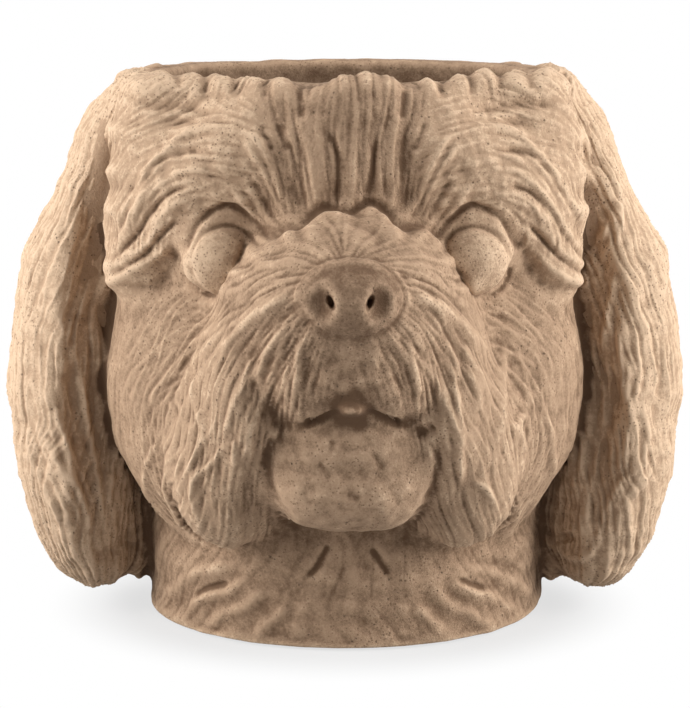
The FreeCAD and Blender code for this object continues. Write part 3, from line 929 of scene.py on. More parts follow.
@dataclass(frozen=True)
class Muzzle(Part):
    """The muzzle with its moustache and upper lip, the nose pad and the nostrils.

    Flews have their place from the middle of the lip, and a nostril's wing and hole from the nose's centre.
    """

    bulk: Ellipsoid = Ellipsoid((0.0, -90.0, EQUATOR - 5.0), (47.0, 63.0, 39.0), MUZZLE_TURN)
    lip: Ellipsoid = Ellipsoid((1.5, -115.0, EQUATOR - 22.5), (30.0, 25.0, 19.0))
    flew: Ellipsoid = Ellipsoid((16.0, -113.0, EQUATOR - 30.0), (14.0, 21.0, 14.5))
    nose: Ellipsoid = Ellipsoid((2.0, -144.8, EQUATOR + 7.0), (19.0, 14.0, 14.5), MUZZLE_TURN)
    wing: Ellipsoid = Ellipsoid((12.0, -12.2, -0.6), (5.4, 4.2, 7.2), MUZZLE_TURN)
    hole: Ellipsoid = Ellipsoid((7.2, -11.5, 0.6), (1.25, 6.5, 2.7), (0.0, 20.0, 0.0))
    wing_blend: float = 3.0
    hole_blend: float = 1.0
    fur_heights: Triple = (0.7, 0.7, 0.35)
    lip_width: float = 16.0
    lip_band: Pair = (EQUATOR + 2.0, EQUATOR - 8.0)
    lip_front: Pair = (-105.0, -125.0)
    bridge_band: Pair = (EQUATOR + 12.0, EQUATOR + 28.0)
    parting: Parting = Parting()

    def relief(self, points: Array) -> Array:
        """Moustache strands, lumps on the bridge and a smooth upper lip.

        Args:
            points: Places in millimetres.

        Returns:
            Heights in millimetres.
        """
        x, y, z = points.T
        height = self.parting.relief(points, self.fur_heights)
        lip = bump(x, self.lip.centre[0], self.lip_width) * smoothstep(*self.lip_band, z)
        lip *= smoothstep(*self.lip_front, y)
        bridge = smoothstep(*self.bridge_band, z)
        height = height * (1.0 - 0.8 * lip) * (1.0 - 0.5 * bridge)
        height += 1.3 * bridge * lumps(points, 11.0, 217) + 0.4 * lumps(points, 8.0, 219)
        return height + 0.8 * lip * lumps(points, 6.5, 221)

    def nose_relief(self, points: Array) -> Array:
        """Leathery grain of the nose."""
        return 0.2 * lumps(points, 5.0, 223)

    def masses(self) -> list[Mass]:
        """The muzzle, its lips and the nose.

        Returns:
            The masses in their order.
        """
        middle = (self.lip.centre[0], 0.0, 0.0)
        flews = [self.flew.on(side).moved(middle) for side in Side]
        # The muzzle, lips and nose are painted darker: partly the dirt of the face's middle, partly painted
        # shade where the side lamps leave the front of the face dim.
        return [Mass("muzzle", flew, blend=8.0, relief=self.relief, patina=-0.2) for flew in flews] + [
            Mass("muzzle", self.bulk, blend=12.0, relief=self.relief, patina=-0.16),
            Mass("muzzle", self.lip, blend=10.0, relief=self.relief, patina=-0.22),
            Mass("nose", self.nose, blend=1.5, relief=self.nose_relief, patina=-0.4),
        ]

    def carvings(self) -> list[Carving]:
        """A shallow wing and a deep hole for each nostril.

        Returns:
            The hollows of both sides.
        """
        hollows = ((self.wing, self.wing_blend), (self.hole, self.hole_blend))
        return [
            Carving(form.on(side).moved(self.nose.centre), blend) for side in Side for form, blend in hollows]


@dataclass(frozen=True)
class Cheek(Part):
    """A cheek with fine hair, and the jowl that hangs beside the chin.

    Slants are how far single hairs lean across the strands, and their heights.
    """

    side: Side
    radius: float = 76.0
    angle: float = 50.0
    height: float = EQUATOR - 40.0
    radii: Triple = (46.0, 33.5, 60.0)
    jowl: Ellipsoid = Ellipsoid((46.0, -84.0, EQUATOR - 64.0), (23.0, 26.0, 36.5))
    fall: Ellipsoid = Ellipsoid((37.0, -96.0, EQUATOR - 36.0), (20.0, 29.0, 36.0))
    sweep_radius: float = 96.0
    sweep_start: float = 45.0
    sweep_foot: float = 20.0
    sweep_squash: float = 0.8
    sweep_arc: float = 55.0
    slants: tuple[Pair, ...] = ((0.0, 0.5), (0.28, 0.45), (-0.25, 0.35))
    hair_size: Pair = (5.5, 60.0)
    hair_end: Pair = (92.0, 60.0)
    jowl_fur: Triple = (0.6, 0.6, 0.4)
    parting: Parting = Parting()

    def sweep(self, points: Array) -> tuple[Array, Array]:
        """Coordinates across and along hair that curves round the corner of the mouth.

        Args:
            points: Places in millimetres.

        Returns:
            Millimetres across the hair and along it.
        """
        turn = round_angle(points) * self.side.value - math.radians(self.angle)
        out = turn * self.sweep_radius + self.sweep_start
        rise = (points[:, 2] - SHOULDER - self.sweep_foot) * self.sweep_squash
        return np.hypot(out, rise), np.arctan2(out, rise) * self.sweep_arc

    def relief(self, points: Array) -> Array:
        """Low strands crossed by single hairs, dying out towards the ear.

        Args:
            points: Places in millimetres.

        Returns:
            Heights in millimetres.
        """
        seed = self.side.seed(250)
        across, along = self.sweep(points)
        across = across + 5.0 * lumps(points, 36.0, seed)
        height = 0.5 * (locks(across, along, 8.0, 70.0, seed + 3) - BROAD_MEAN)
        for slant, strength in self.slants:
            height += strength * (hairs(across + slant * along, along, *self.hair_size, seed + 5) - HAIR_MEAN)
            seed += 2
        inner = smoothstep(*self.hair_end, points[:, 0] * self.side.value)
        height = height * (0.3 + 0.7 * inner)
        return height + 0.6 * lumps(points, 14.0, seed) + 0.25 * lumps(points, 6.0, seed + 3)

    def jowl_relief(self, points: Array) -> Array:
        """The moustache's strands, running on over the jowl."""
        return self.parting.relief(points, self.jowl_fur) + 0.4 * lumps(points, 9.0, self.side.seed(300))

    def masses(self) -> list[Mass]:
        """The cheek, the jowl, and the hair that falls from the muzzle onto the jowl.

        Returns:
            The masses in their order.
        """
        centre = on_wall(self.radius, self.angle, self.height)
        pad = Ellipsoid(centre, self.radii, (self.angle, 0.0, 0.0))
        pad, jowl, fall = (form.on(self.side) for form in (pad, self.jowl, self.fall))
        node = f"{self.side.prefix}_jowl"
        return [
            Mass(f"{self.side.prefix}_cheek", pad, blend=10.0, relief=self.relief, patina=-0.12),
            Mass(node, jowl, blend=12.0, relief=self.jowl_relief, patina=-0.03),
            Mass(node, fall, blend=12.0, relief=self.jowl_relief, patina=-0.05),
        ]


@dataclass(frozen=True)
class Chin(Part):
    """The smooth, rather square chin with its lip, and the tip of the tongue above it."""

    bulk: Ellipsoid = Ellipsoid((1.5, -92.0, EQUATOR - 63.5), (34.0, 35.0, 26.5), squareness=2.7)
    lip: Ellipsoid = Ellipsoid((1.5, -100.0, EQUATOR - 51.0), (31.0, 28.5, 14.0))
    tongue: Ellipsoid = Ellipsoid((2.6, -121.5, EQUATOR - 35.2), (7.2, 20.5, 4.6))

    def relief(self, points: Array) -> Array:
        """Soft lumps."""
        return 0.6 * lumps(points, 13.0, 351) + 0.4 * lumps(points, 5.0, 353)

    def tongue_relief(self, points: Array) -> Array:
        """Next to nothing."""
        return 0.15 * lumps(points, 4.0, 357)

    def masses(self) -> list[Mass]:
        """The chin, its lip and the tongue.

        Returns:
            The masses in their order.
        """
        # The chin and its lip are painted darker, partly dirt and partly painted shade of the face's dim
        # front; the tongue is painted dark as painted shade inside the mouth.
        return [
            Mass("chin", self.bulk, blend=9.0, relief=self.relief, patina=-0.12),
            Mass("chin", self.lip, blend=7.0, relief=self.relief, patina=-0.18),
            Mass("tongue", self.tongue, blend=1.2, relief=self.tongue_relief, patina=-0.86),
        ]


# More than the rows of cells in the photograph.
CELL_ROWS = 10000


@dataclass(frozen=True)
class View:
    """Where the photograph was taken from: millimetres, degrees, and a frame in pixels."""

    place: Triple = (0.0, -1138.0, EQUATOR + 150.0)
    pitch: float = 9.33
    lens: float = 138.2
    sensor: float = 36.0
    width: float = 690.0
    height: float = 708.0
    cell: float = 4.0
    slack: float = 7.0
    grazing: Pair = (-0.4, 0.0)

    def pixels(self, points: Array) -> tuple[Array, Array, Array]:
        """Where points appear in the photograph.

        Args:
            points: Places in millimetres.

        Returns:
            Pixels from the left, pixels from the top, and depth in millimetres.
        """
        side, ahead, rise = (points - np.array(self.place)).T
        turn = math.radians(self.pitch)
        depth = ahead * math.cos(turn) - rise * math.sin(turn)
        up = ahead * math.sin(turn) + rise * math.cos(turn)
        scale = self.lens / self.sensor * max(self.width, self.height) / depth
        return self.width / 2.0 + side * scale, self.height / 2.0 - up * scale, depth

    def seen(self, points: Array, normals: Array) -> Array:
        """How plainly each point of the skin is in view.

        Args:
            points: Places in millimetres.
            normals: Unit normals of the skin there.

        Returns:
            0 where something nearer hides the point or it looks away, 1 in plain sight.
        """
        across, down, depth = self.pixels(points)
        column, row = (np.floor(value / self.cell).astype(np.int64) for value in (across, down))
        found, number = np.unique(column * CELL_ROWS + row, return_inverse=True)
        nearest = np.full(len(found), np.inf)
        np.minimum.at(nearest, number, depth)
        sight = np.array(self.place) - points
        facing = np.sum(sight * normals, axis=1) / np.linalg.norm(sight, axis=1)
        clear = smoothstep(2.0 * self.slack, self.slack, depth - nearest[number])
        return clear * smoothstep(*self.grazing, facing)


Path = tuple[Pair, ...]

# Shares of a stroke over which it rises at its start and sinks at its end.
STROKE_START = (-0.08, 0.2)
STROKE_END = (1.08, 0.8)


def mirrored(middle: float, paths: tuple[Path, ...]) -> tuple[Path, ...]:
    """Mirror images of paths about an upright line, which is so many pixels from the left."""
    return tuple(tuple((2.0 * middle - x, y) for x, y in path) for path in paths)


def curve(path: Path, steps: int = 6) -> Array:
    """A smooth line through the points of a path.

    Args:
        path: Points in pixels.
        steps: Steps from each point to the next.

    Returns:
        Points of the line.
    """
    knots = np.array(path, dtype=float)
    if len(knots) < 3:
        return knots
    padded = np.concatenate([[2.0 * knots[0] - knots[1]], knots, [2.0 * knots[-1] - knots[-2]]])
    share = np.linspace(0.0, 1.0, steps, endpoint=False)[:, None]
    spans = []
    for a, b, c, d in zip(padded, padded[1:], padded[2:], padded[3:]):
        bend = 2.0 * a - 5.0 * b + 4.0 * c - d + share * (3.0 * (b - c) + d - a)
        spans.append(b + 0.5 * share * (c - a + share * bend))
    return np.concatenate(spans + [knots[-1:]])


@dataclass(frozen=True)
class Strokes:
    """Ridges or cuts of one kind, along paths in pixels of the photograph. A path of one point is a dab.

    height is in millimetres, negative for a cut, and width in pixels. combing says that finer strands lie
    between neighbouring paths.
    """

    name: str
    height: float
    width: float
    paths: tuple[Path, ...]
    combing: bool = False

    def combed(self, strands: int, height: float, width: float, apart: float = 70.0) -> "Strokes":
        """Finer strokes between each path and the next, where these lie close enough together.

        Args:
            strands: How many strokes lie in each gap.
            height: Height of the strokes in millimetres.
            width: Width of the strokes in pixels.
            apart: Greatest gap in pixels that is filled.

        Returns:
            The strokes in the gaps.
        """
        share = np.linspace(0.0, 1.0, 7)
        lines = []
        for path in self.paths:
            line = curve(path)
            place = np.linspace(0.0, 1.0, len(line))
            lines.append(np.stack([np.interp(share, place, line[:, k]) for k in range(2)], axis=1))
        made = []
        for first, second in zip(lines, lines[1:]):
            if np.linalg.norm(first - second, axis=1).mean() < apart:
                for count in range(strands):
                    part = (count + 1.0) / (strands + 1.0)
                    made.append(tuple(map(tuple, first + part * (second - first))))
        return Strokes(f"{self.name}, combed", height, width, tuple(made))

    def raised(self, path: Path, across: Array, down: Array) -> Array:
        """Height that one path adds at places of the photograph.

        Args:
            path: One of the paths.
            across: Pixels from the left.
            down: Pixels from the top.

        Returns:
            Heights in millimetres.
        """
        line = curve(path)
        nearest = np.hypot(across - line[0, 0], down - line[0, 1])
        taper = np.ones(len(across))
        count = len(line) - 1
        if count:
            taper[:] = 0.0
        for number, (start, end) in enumerate(zip(line, line[1:])):
            reach = end - start
            share = ((across - start[0]) * reach[0] + (down - start[1]) * reach[1]) / (reach @ reach)
            share = np.clip(share, 0.0, 1.0)
            away = np.hypot(across - start[0] - share * reach[0], down - start[1] - share * reach[1])
            closer = np.flatnonzero(away <= nearest)
            nearest[closer] = away[closer]
            along = (number + share[closer]) / count
            taper[closer] = smoothstep(*STROKE_START, along) * smoothstep(*STROKE_END, along)
        return self.height * taper * np.exp(-(nearest / self.width) ** 2)

    def relief(self, across: Array, down: Array) -> Array:
        """Height that all paths add.

        Args:
            across: Pixels from the left.
            down: Pixels from the top.

        Returns:
            Heights in millimetres.
        """
        total = np.zeros(len(across))
        margin = 3.0 * self.width
        for path in self.paths:
            left, top = np.min(path, axis=0) - margin
            right, bottom = np.max(path, axis=0) + margin
            some = np.flatnonzero((across > left) & (across < right) & (down > top) & (down < bottom))
            if len(some):
                total[some] += self.raised(path, across[some], down[some])
        return total


BROWS = (
    Strokes("brow rolls", 1.8, 5.6, (
        ((220, 124), (193, 130), (172, 146), (150, 169), (140, 192), (125, 213), (114, 228)),
        ((211, 172), (190, 171), (172, 177), (150, 195), (135, 219), (125, 237), (114, 256)),
        ((193, 198), (178, 202), (160, 222), (147, 243), (126, 258), (111, 267)),
        ((172, 241), (158, 254), (144, 264), (128, 273), (111, 282)),
        ((483, 124), (510, 131), (530, 146), (549, 167), (562, 190), (574, 212), (584, 229)),
        ((501, 169), (520, 174), (536, 186), (549, 204), (561, 225), (574, 242), (585, 254)),
        ((516, 197), (532, 206), (543, 222), (553, 240), (566, 255), (588, 266)),
        ((533, 246), (545, 262), (558, 273), (572, 280), (587, 283)),
    ), True),
    Strokes("creases between the rolls", -1.1, 2.7, (
        ((207, 150), (183, 151), (161, 162), (145, 184), (130, 212), (118, 240)),
        ((190, 187), (172, 192), (153, 210), (140, 233), (124, 250), (112, 261)),
        ((176, 222), (160, 238), (146, 254), (128, 266), (112, 275)),
        ((494, 150), (518, 151), (540, 162), (556, 184), (571, 212), (583, 240)),
        ((511, 187), (529, 192), (548, 210), (561, 233), (577, 250), (588, 261)),
        ((525, 222), (541, 238), (555, 254), (573, 266), (588, 275)),
    )),
    Strokes("strands from the forehead to the lids", 1.2, 4.2, (
        ((229, 183), (247, 207), (265, 234)), ((241, 177), (259, 201), (277, 231)),
        ((247, 128), (265, 152), (277, 180), (289, 207)),
        ((412, 210), (424, 182), (437, 154), (454, 130)), ((424, 232), (442, 203), (460, 179)),
        ((436, 235), (454, 209), (471, 184)),
    ), True),
    Strokes("creases over the lids", -1.6, 3.6, (
        ((268, 240), (259, 225), (244, 212), (224, 207), (205, 216), (191, 232), (182, 250)),
        ((436, 239), (446, 223), (460, 211), (476, 207), (497, 215), (511, 230), (519, 249)),
    )),
    Strokes("grooves under the brows", -1.6, 8.0, (
        ((191, 226), (180, 245), (172, 264), (163, 279), (146, 289), (123, 291)),
        ((510, 226), (522, 248), (531, 270), (546, 287), (573, 295)),
    )),
    Strokes("edges of the lids", -1.0, 2.8, (
        ((190, 256), (196, 240), (210, 229), (228, 225), (245, 231), (257, 245)),
        ((445, 245), (454, 232), (470, 226), (488, 229), (503, 240), (511, 256)),
    )),
    Strokes("lower edges of the eyes", -1.0, 3.0, (
        ((189, 266), (193, 279), (202, 291), (213, 297)), ((511, 266), (508, 280), (500, 290), (489, 296)),
    )),
    Strokes("ends of the brows", 2.4, 10.0, (
        ((116, 131),), ((113, 172),), ((112, 208),), ((581, 138),), ((584, 173),), ((584, 209),),
    )),
    Strokes("tips of the rolls", 1.5, 8.0, (((110, 266),), ((112, 281),), ((587, 266),), ((586, 281),))),
)

RIM_ROLL = (
    Strokes("roll along the rim", 1.6, 11.0, (
        ((118, 92), (140, 84), (185, 90), (220, 94), (255, 97), (296, 100)),
        ((405, 99), (450, 94), (490, 88), (530, 82), (560, 84), (582, 92)),
    )),
    Strokes("gaps between the tufts", -1.0, 5.0, (
        ((176, 70), (178, 92)), ((205, 74), (206, 96)), ((235, 77), (236, 99)), ((266, 79), (268, 100)),
        ((442, 78), (441, 98)), ((470, 75), (470, 97)), ((498, 72), (499, 94)), ((529, 70), (530, 92)),
    )),
    Strokes("tufts of the rim", 2.0, 10.5, (
        ((160, 70),), ((192, 77),), ((218, 80),), ((252, 81),), ((281, 85),), ((344, 82),), ((366, 79),),
        ((388, 82),), ((428, 84),), ((456, 80),), ((484, 77),), ((512, 73),), ((546, 72),),
    )),
    Strokes("ledge below the roll", -1.5, 5.5, (
        ((134, 104), (160, 106), (190, 108), (216, 114)), ((163, 122), (195, 120), (228, 121)),
        ((470, 112), (500, 106), (530, 104), (562, 103)), ((462, 121), (495, 120), (528, 122)),
    )),
)

FORELOCK_MIDDLE = 352.0
FORELOCK_SIDE = (
    ((244, 135), (257, 160), (271, 186), (286, 226)),
    ((256, 130), (274, 158), (286, 186), (296, 217)),
    ((286, 126), (289, 153), (293, 180)),
    ((304, 108), (311, 136), (312, 176), (314, 214)),
)

FOREHEAD = (
    Strokes("strands of the forelock", 1.0, 5.6, (
        *FORELOCK_SIDE,
        ((320, 111), (322, 160), (322, 209)),
        *mirrored(FORELOCK_MIDDLE, FORELOCK_SIDE),
        ((354, 90), (356, 130), (353, 170), (352, 205)),
    ), True),
    Strokes("partings of the forelock", -1.2, 4.5, (
        ((327, 130), (339, 160), (337, 206)), ((376, 140), (372, 170), (366, 205)),
        ((298, 88), (300, 104), (302, 120)), ((278, 122), (284, 137), (290, 152)),
        ((259, 125), (266, 139), (272, 152)), ((405, 88), (403, 104), (401, 120)),
        ((426, 122), (420, 137), (414, 152)),
    )),
)

MUZZLE = (
    Strokes("lumps along the top of the muzzle", 1.8, 9.0, (
        ((228, 289),), ((236, 273),), ((257, 258),), ((268, 242),), ((289, 236),), ((311, 231),),
        ((325, 218),), ((339, 219),), ((370, 214),), ((384, 220),), ((395, 233),), ((420, 238),),
        ((436, 245),), ((449, 262),), ((472, 286),),
    )),
    Strokes("roll beside the nose", 2.4, 7.0, (
        ((293, 294), (263, 311), (242, 329), (220, 359)), ((412, 294), (440, 308), (462, 327), (482, 352)),
    )),
    Strokes("crease behind the muzzle", -2.5, 5.0, (
        ((264, 243), (278, 230), (298, 224), (312, 214), (325, 207), (347, 210), (370, 202), (387, 212),
         (398, 223), (420, 229), (437, 240)),
    )),
    Strokes("falls of the moustache", 1.4, 4.6, (
        ((276, 370), (262, 403), (249, 433), (249, 459)), ((252, 355), (247, 376), (234, 406), (223, 438)),
        ((300, 340), (297, 390)), ((282, 330), (268, 352), (256, 384)), ((440, 338), (453, 360), (456, 385)),
        ((430, 366), (442, 396), (455, 429), (460, 456), (460, 479)), ((408, 340), (414, 372), (420, 396)),
        ((463, 366), (476, 396), (478, 413)), ((460, 343), (473, 366), (485, 393)),
    ), True),
    Strokes("corners of the mouth", -2.0, 7.0, (((435, 426), (427, 431), (416, 434)),)),
    Strokes("pad in the corner of the mouth", 2.0, 7.0, (((268, 430), (279, 434)),)),
    Strokes("line of the lips", -3.2, 3.4, (
        ((303, 425), (314, 422), (326, 418), (338, 412)), ((368, 412), (380, 418), (392, 422), (403, 425)),
    )),
    Strokes("creases beside the chin", -1.6, 5.0, (
        ((270, 440), (267, 470), (276, 502), (294, 524)), ((436, 440), (439, 465), (431, 498), (412, 524)),
    )),
    Strokes("dimples of the chin", -0.5, 4.0, (
        ((333, 440), (331, 452)), ((318, 462), (330, 478)), ((372, 452), (384, 470)),
        ((346, 496), (362, 500)), ((392, 492), (400, 506)), ((302, 490), (312, 506)),
    )),
    Strokes("rim of the nose", 1.5, 4.5, (
        ((303, 316), (299, 298), (313, 273), (353, 263), (392, 273), (406, 298), (401, 320)),
    )),
)

CHEEKS = (
    Strokes("long hairs of the cheeks", 1.2, 3.4, (
        ((236, 310), (196, 343), (173, 370), (156, 393), (151, 406)),
        ((252, 308), (209, 346), (189, 370), (179, 399), (183, 413)),
        ((196, 373), (196, 403), (204, 433), (193, 466), (196, 499)),
        ((209, 355), (193, 393), (179, 426), (168, 466), (170, 499), (189, 532), (209, 544)),
        ((226, 443), (213, 462), (198, 476), (193, 499), (203, 532)),
        ((145, 462), (145, 482), (150, 499), (170, 521), (189, 539)),
        ((233, 439), (236, 466)), ((156, 443), (148, 466)),
        ((453, 385), (460, 416), (463, 446)),
        ((471, 479), (486, 489), (496, 509), (496, 522)),
        ((508, 421), (520, 436), (524, 453)), ((524, 413), (516, 429)),
        ((543, 413), (551, 433), (553, 456), (553, 476)),
        ((529, 487), (520, 501), (513, 521), (500, 542)), ((510, 476), (508, 496), (501, 521)),
    ), True),
    Strokes("lock on the left cheek", 1.8, 5.0, (((503, 347), (501, 380), (500, 413), (496, 446)),)),
)

EAR_MIDDLE = 345.0
EAR_SIDE = (
    ((84, 296), (83, 350), (88, 420), (100, 490), (108, 540)),
    ((97, 300), (97, 360), (103, 425), (116, 500)),
    ((106, 330), (110, 390), (118, 440), (130, 500), (134, 540)),
)

EARS = (
    Strokes("ridges of the ears", 1.3, 4.2, (
        ((81, 365), (86, 403), (91, 430), (96, 458), (99, 492)),
        ((40, 427), (50, 447), (62, 468), (74, 485), (86, 509), (90, 527)),
        ((26, 427), (34, 463), (46, 489), (58, 513), (62, 521)),
        ((58, 403), (67, 444), (71, 470), (79, 490), (86, 508)), ((112, 471), (110, 506)),
        ((588, 103), (595, 123)), ((615, 201), (622, 210), (620, 230), (617, 247)),
        ((608, 227), (596, 240), (591, 252)), ((613, 269), (608, 306), (601, 352)),
        ((620, 325), (619, 371), (629, 415), (625, 449), (620, 470)),
        ((646, 412), (644, 439), (639, 465), (629, 476)), ((656, 442), (651, 465), (642, 482), (632, 502)),
        ((625, 476), (615, 493), (602, 521)), ((559, 529), (564, 551), (578, 558), (595, 548), (602, 524)),
    ), True),
    Strokes("strands on the inner sides of the ears", 1.1, 3.6,
            EAR_SIDE + mirrored(EAR_MIDDLE, EAR_SIDE), True),
    Strokes("furrows of the ears", -1.6, 7.0, (
        ((100, 134), (103, 163), (105, 206), (112, 232)), ((75, 360), (74, 406), (78, 458)),
        ((101, 363), (96, 423), (103, 454)), ((20, 416), (25, 455)),
        ((127, 523), (124, 544), (107, 556), (96, 558)),
        ((585, 182), (588, 213), (583, 239), (585, 273), (588, 298)),
        ((605, 368), (612, 408), (602, 437), (595, 465)), ((566, 532), (567, 543)),
    )),
)

NECK = (
    Strokes("slits of the neck", -1.5, 3.8, (
        ((329, 544), (323, 556), (316, 568), (306, 578)), ((371, 548), (381, 563), (389, 576)),
        ((195, 596), (210, 588), (230, 583)), ((456, 578), (472, 585), (487, 589)),
    )),
    Strokes("locks of the neck", 1.2, 7.0, (
        ((168, 598), (184, 580), (206, 570), (230, 566)), ((183, 613), (203, 597), (228, 590), (252, 576)),
        ((203, 630), (226, 612), (246, 606), (268, 586)), ((252, 638), (270, 622), (288, 604)),
        ((530, 596), (512, 581), (492, 572), (468, 568)), ((514, 614), (496, 598), (470, 590), (446, 578)),
        ((494, 631), (470, 613), (448, 604), (430, 585)), ((446, 636), (428, 618), (412, 606)),
    )),
    Strokes("folds under the chin", 0.8, 8.0, (
        ((300, 640), (297, 622), (303, 602)), ((403, 638), (406, 620), (398, 602)),
        ((350, 566), (353, 590), (348, 616)),
    )),
)


@dataclass(frozen=True)
class Drawing:
    """What is modelled one by one on the side that the photograph shows.

    Combed strands have shares of the height and the width of the strokes that they lie between.
    """

    view: View = View()
    strokes: tuple[Strokes, ...] = BROWS + RIM_ROLL + FOREHEAD + MUZZLE + CHEEKS + EARS + NECK
    comb_strands: int = 2
    comb_height: float = 0.35
    comb_width: float = 0.6
    least_sight: float = 0.01

    def relief(self, points: Array, normals: Array) -> Array:
        """Height of the strokes on the parts of the skin that the photograph shows.

        Args:
            points: Places in millimetres.
            normals: Unit normals of the skin there.

        Returns:
            Heights in millimetres.
        """
        across, down, _ = self.view.pixels(points)
        sight = self.view.seen(points, normals)
        shown = np.flatnonzero(sight > self.least_sight)
        height = np.zeros(len(points))
        combed = [
            kind.combed(self.comb_strands, self.comb_height * kind.height, self.comb_width * kind.width)
            for kind in self.strokes if kind.combing]
        for kind in [*self.strokes, *combed]:
            height[shown] += kind.relief(across[shown], down[shown])
            log.info("%s: %d strokes", kind.name, len(kind.paths))
        return height * sight


@dataclass
class QuadMesh:
    """Quads that share vertices, in millimetres."""

    points: Array
    quads: Array

    def normals(self) -> Array:
        """Unit normal of each vertex.

        Returns:
            One row for each vertex.
        """
        a, b, c, d = (self.points[self.quads[:, k]] for k in range(4))
        flat = np.cross(c - a, d - b)
        corners, count = self.quads.ravel(), len(self.points)
        total = np.stack([np.bincount(corners, np.repeat(flat[:, k], 4), count) for k in range(3)], axis=1)
        return total / np.maximum(np.linalg.norm(total, axis=1, keepdims=True), LEAST_SUM)

    def edges(self) -> tuple[Array, Array]:
        """Number the edges, each once.

        Returns:
            The vertices of each edge, and the four edges of each quad.
        """
        sides = np.stack([self.quads, np.roll(self.quads, -1, axis=1)], axis=2).reshape(-1, 2)
        sides = np.sort(sides, axis=1)
        key = sides[:, 0] * len(self.points) + sides[:, 1]
        found, number = np.unique(key, return_inverse=True)
        pairs = np.stack([found // len(self.points), found % len(self.points)], axis=1)
        return pairs, number.reshape(-1, 4)

    def split(self) -> "QuadMesh":
        """Cut each quad in four. Vertices keep their numbers; edge and face middles follow them.

        Returns:
            The finer mesh.
        """
        pairs, number = self.edges()
        count = len(self.points)
        middles = self.points[pairs].mean(axis=1)
        centres = self.points[self.quads].mean(axis=1)
        first_face = count + len(pairs)
        face = first_face + np.arange(len(self.quads))
        parts = [
            np.stack([self.quads[:, k], count + number[:, k], face, count + number[:, k - 1]], axis=1)
            for k in range(4)]
        quads = np.stack(parts, axis=1).reshape(-1, 4)
        return QuadMesh(np.concatenate([self.points, middles, centres]), quads)


@dataclass
class Neighbours:
    """Averages over the vertices that edges join."""

    pairs: Array
    count: int
    own_share: float = 0.4
    degree: Array = field(init=False)

    def __post_init__(self) -> None:
        """Count the edges at each vertex."""
        self.degree = np.maximum(np.bincount(self.pairs.ravel(), minlength=self.count), 1)

    def mean(self, values: Array) -> Array:
        """Mean of each vertex's neighbours.

        Args:
            values: One value for each vertex.

        Returns:
            The means.
        """
        first, second = self.pairs.T
        total = np.bincount(first, values[second], self.count)
        total = total + np.bincount(second, values[first], self.count)
        return total / self.degree

    def smooth(self, values: Array, rounds: int) -> Array:
        """Blur values over the surface.

        Args:
            values: One value for each vertex.
            rounds: How often they are blurred.

        Returns:
            The blurred values.
        """
        for _ in range(rounds):
            values = self.own_share * values + (1.0 - self.own_share) * self.mean(values)
        return values


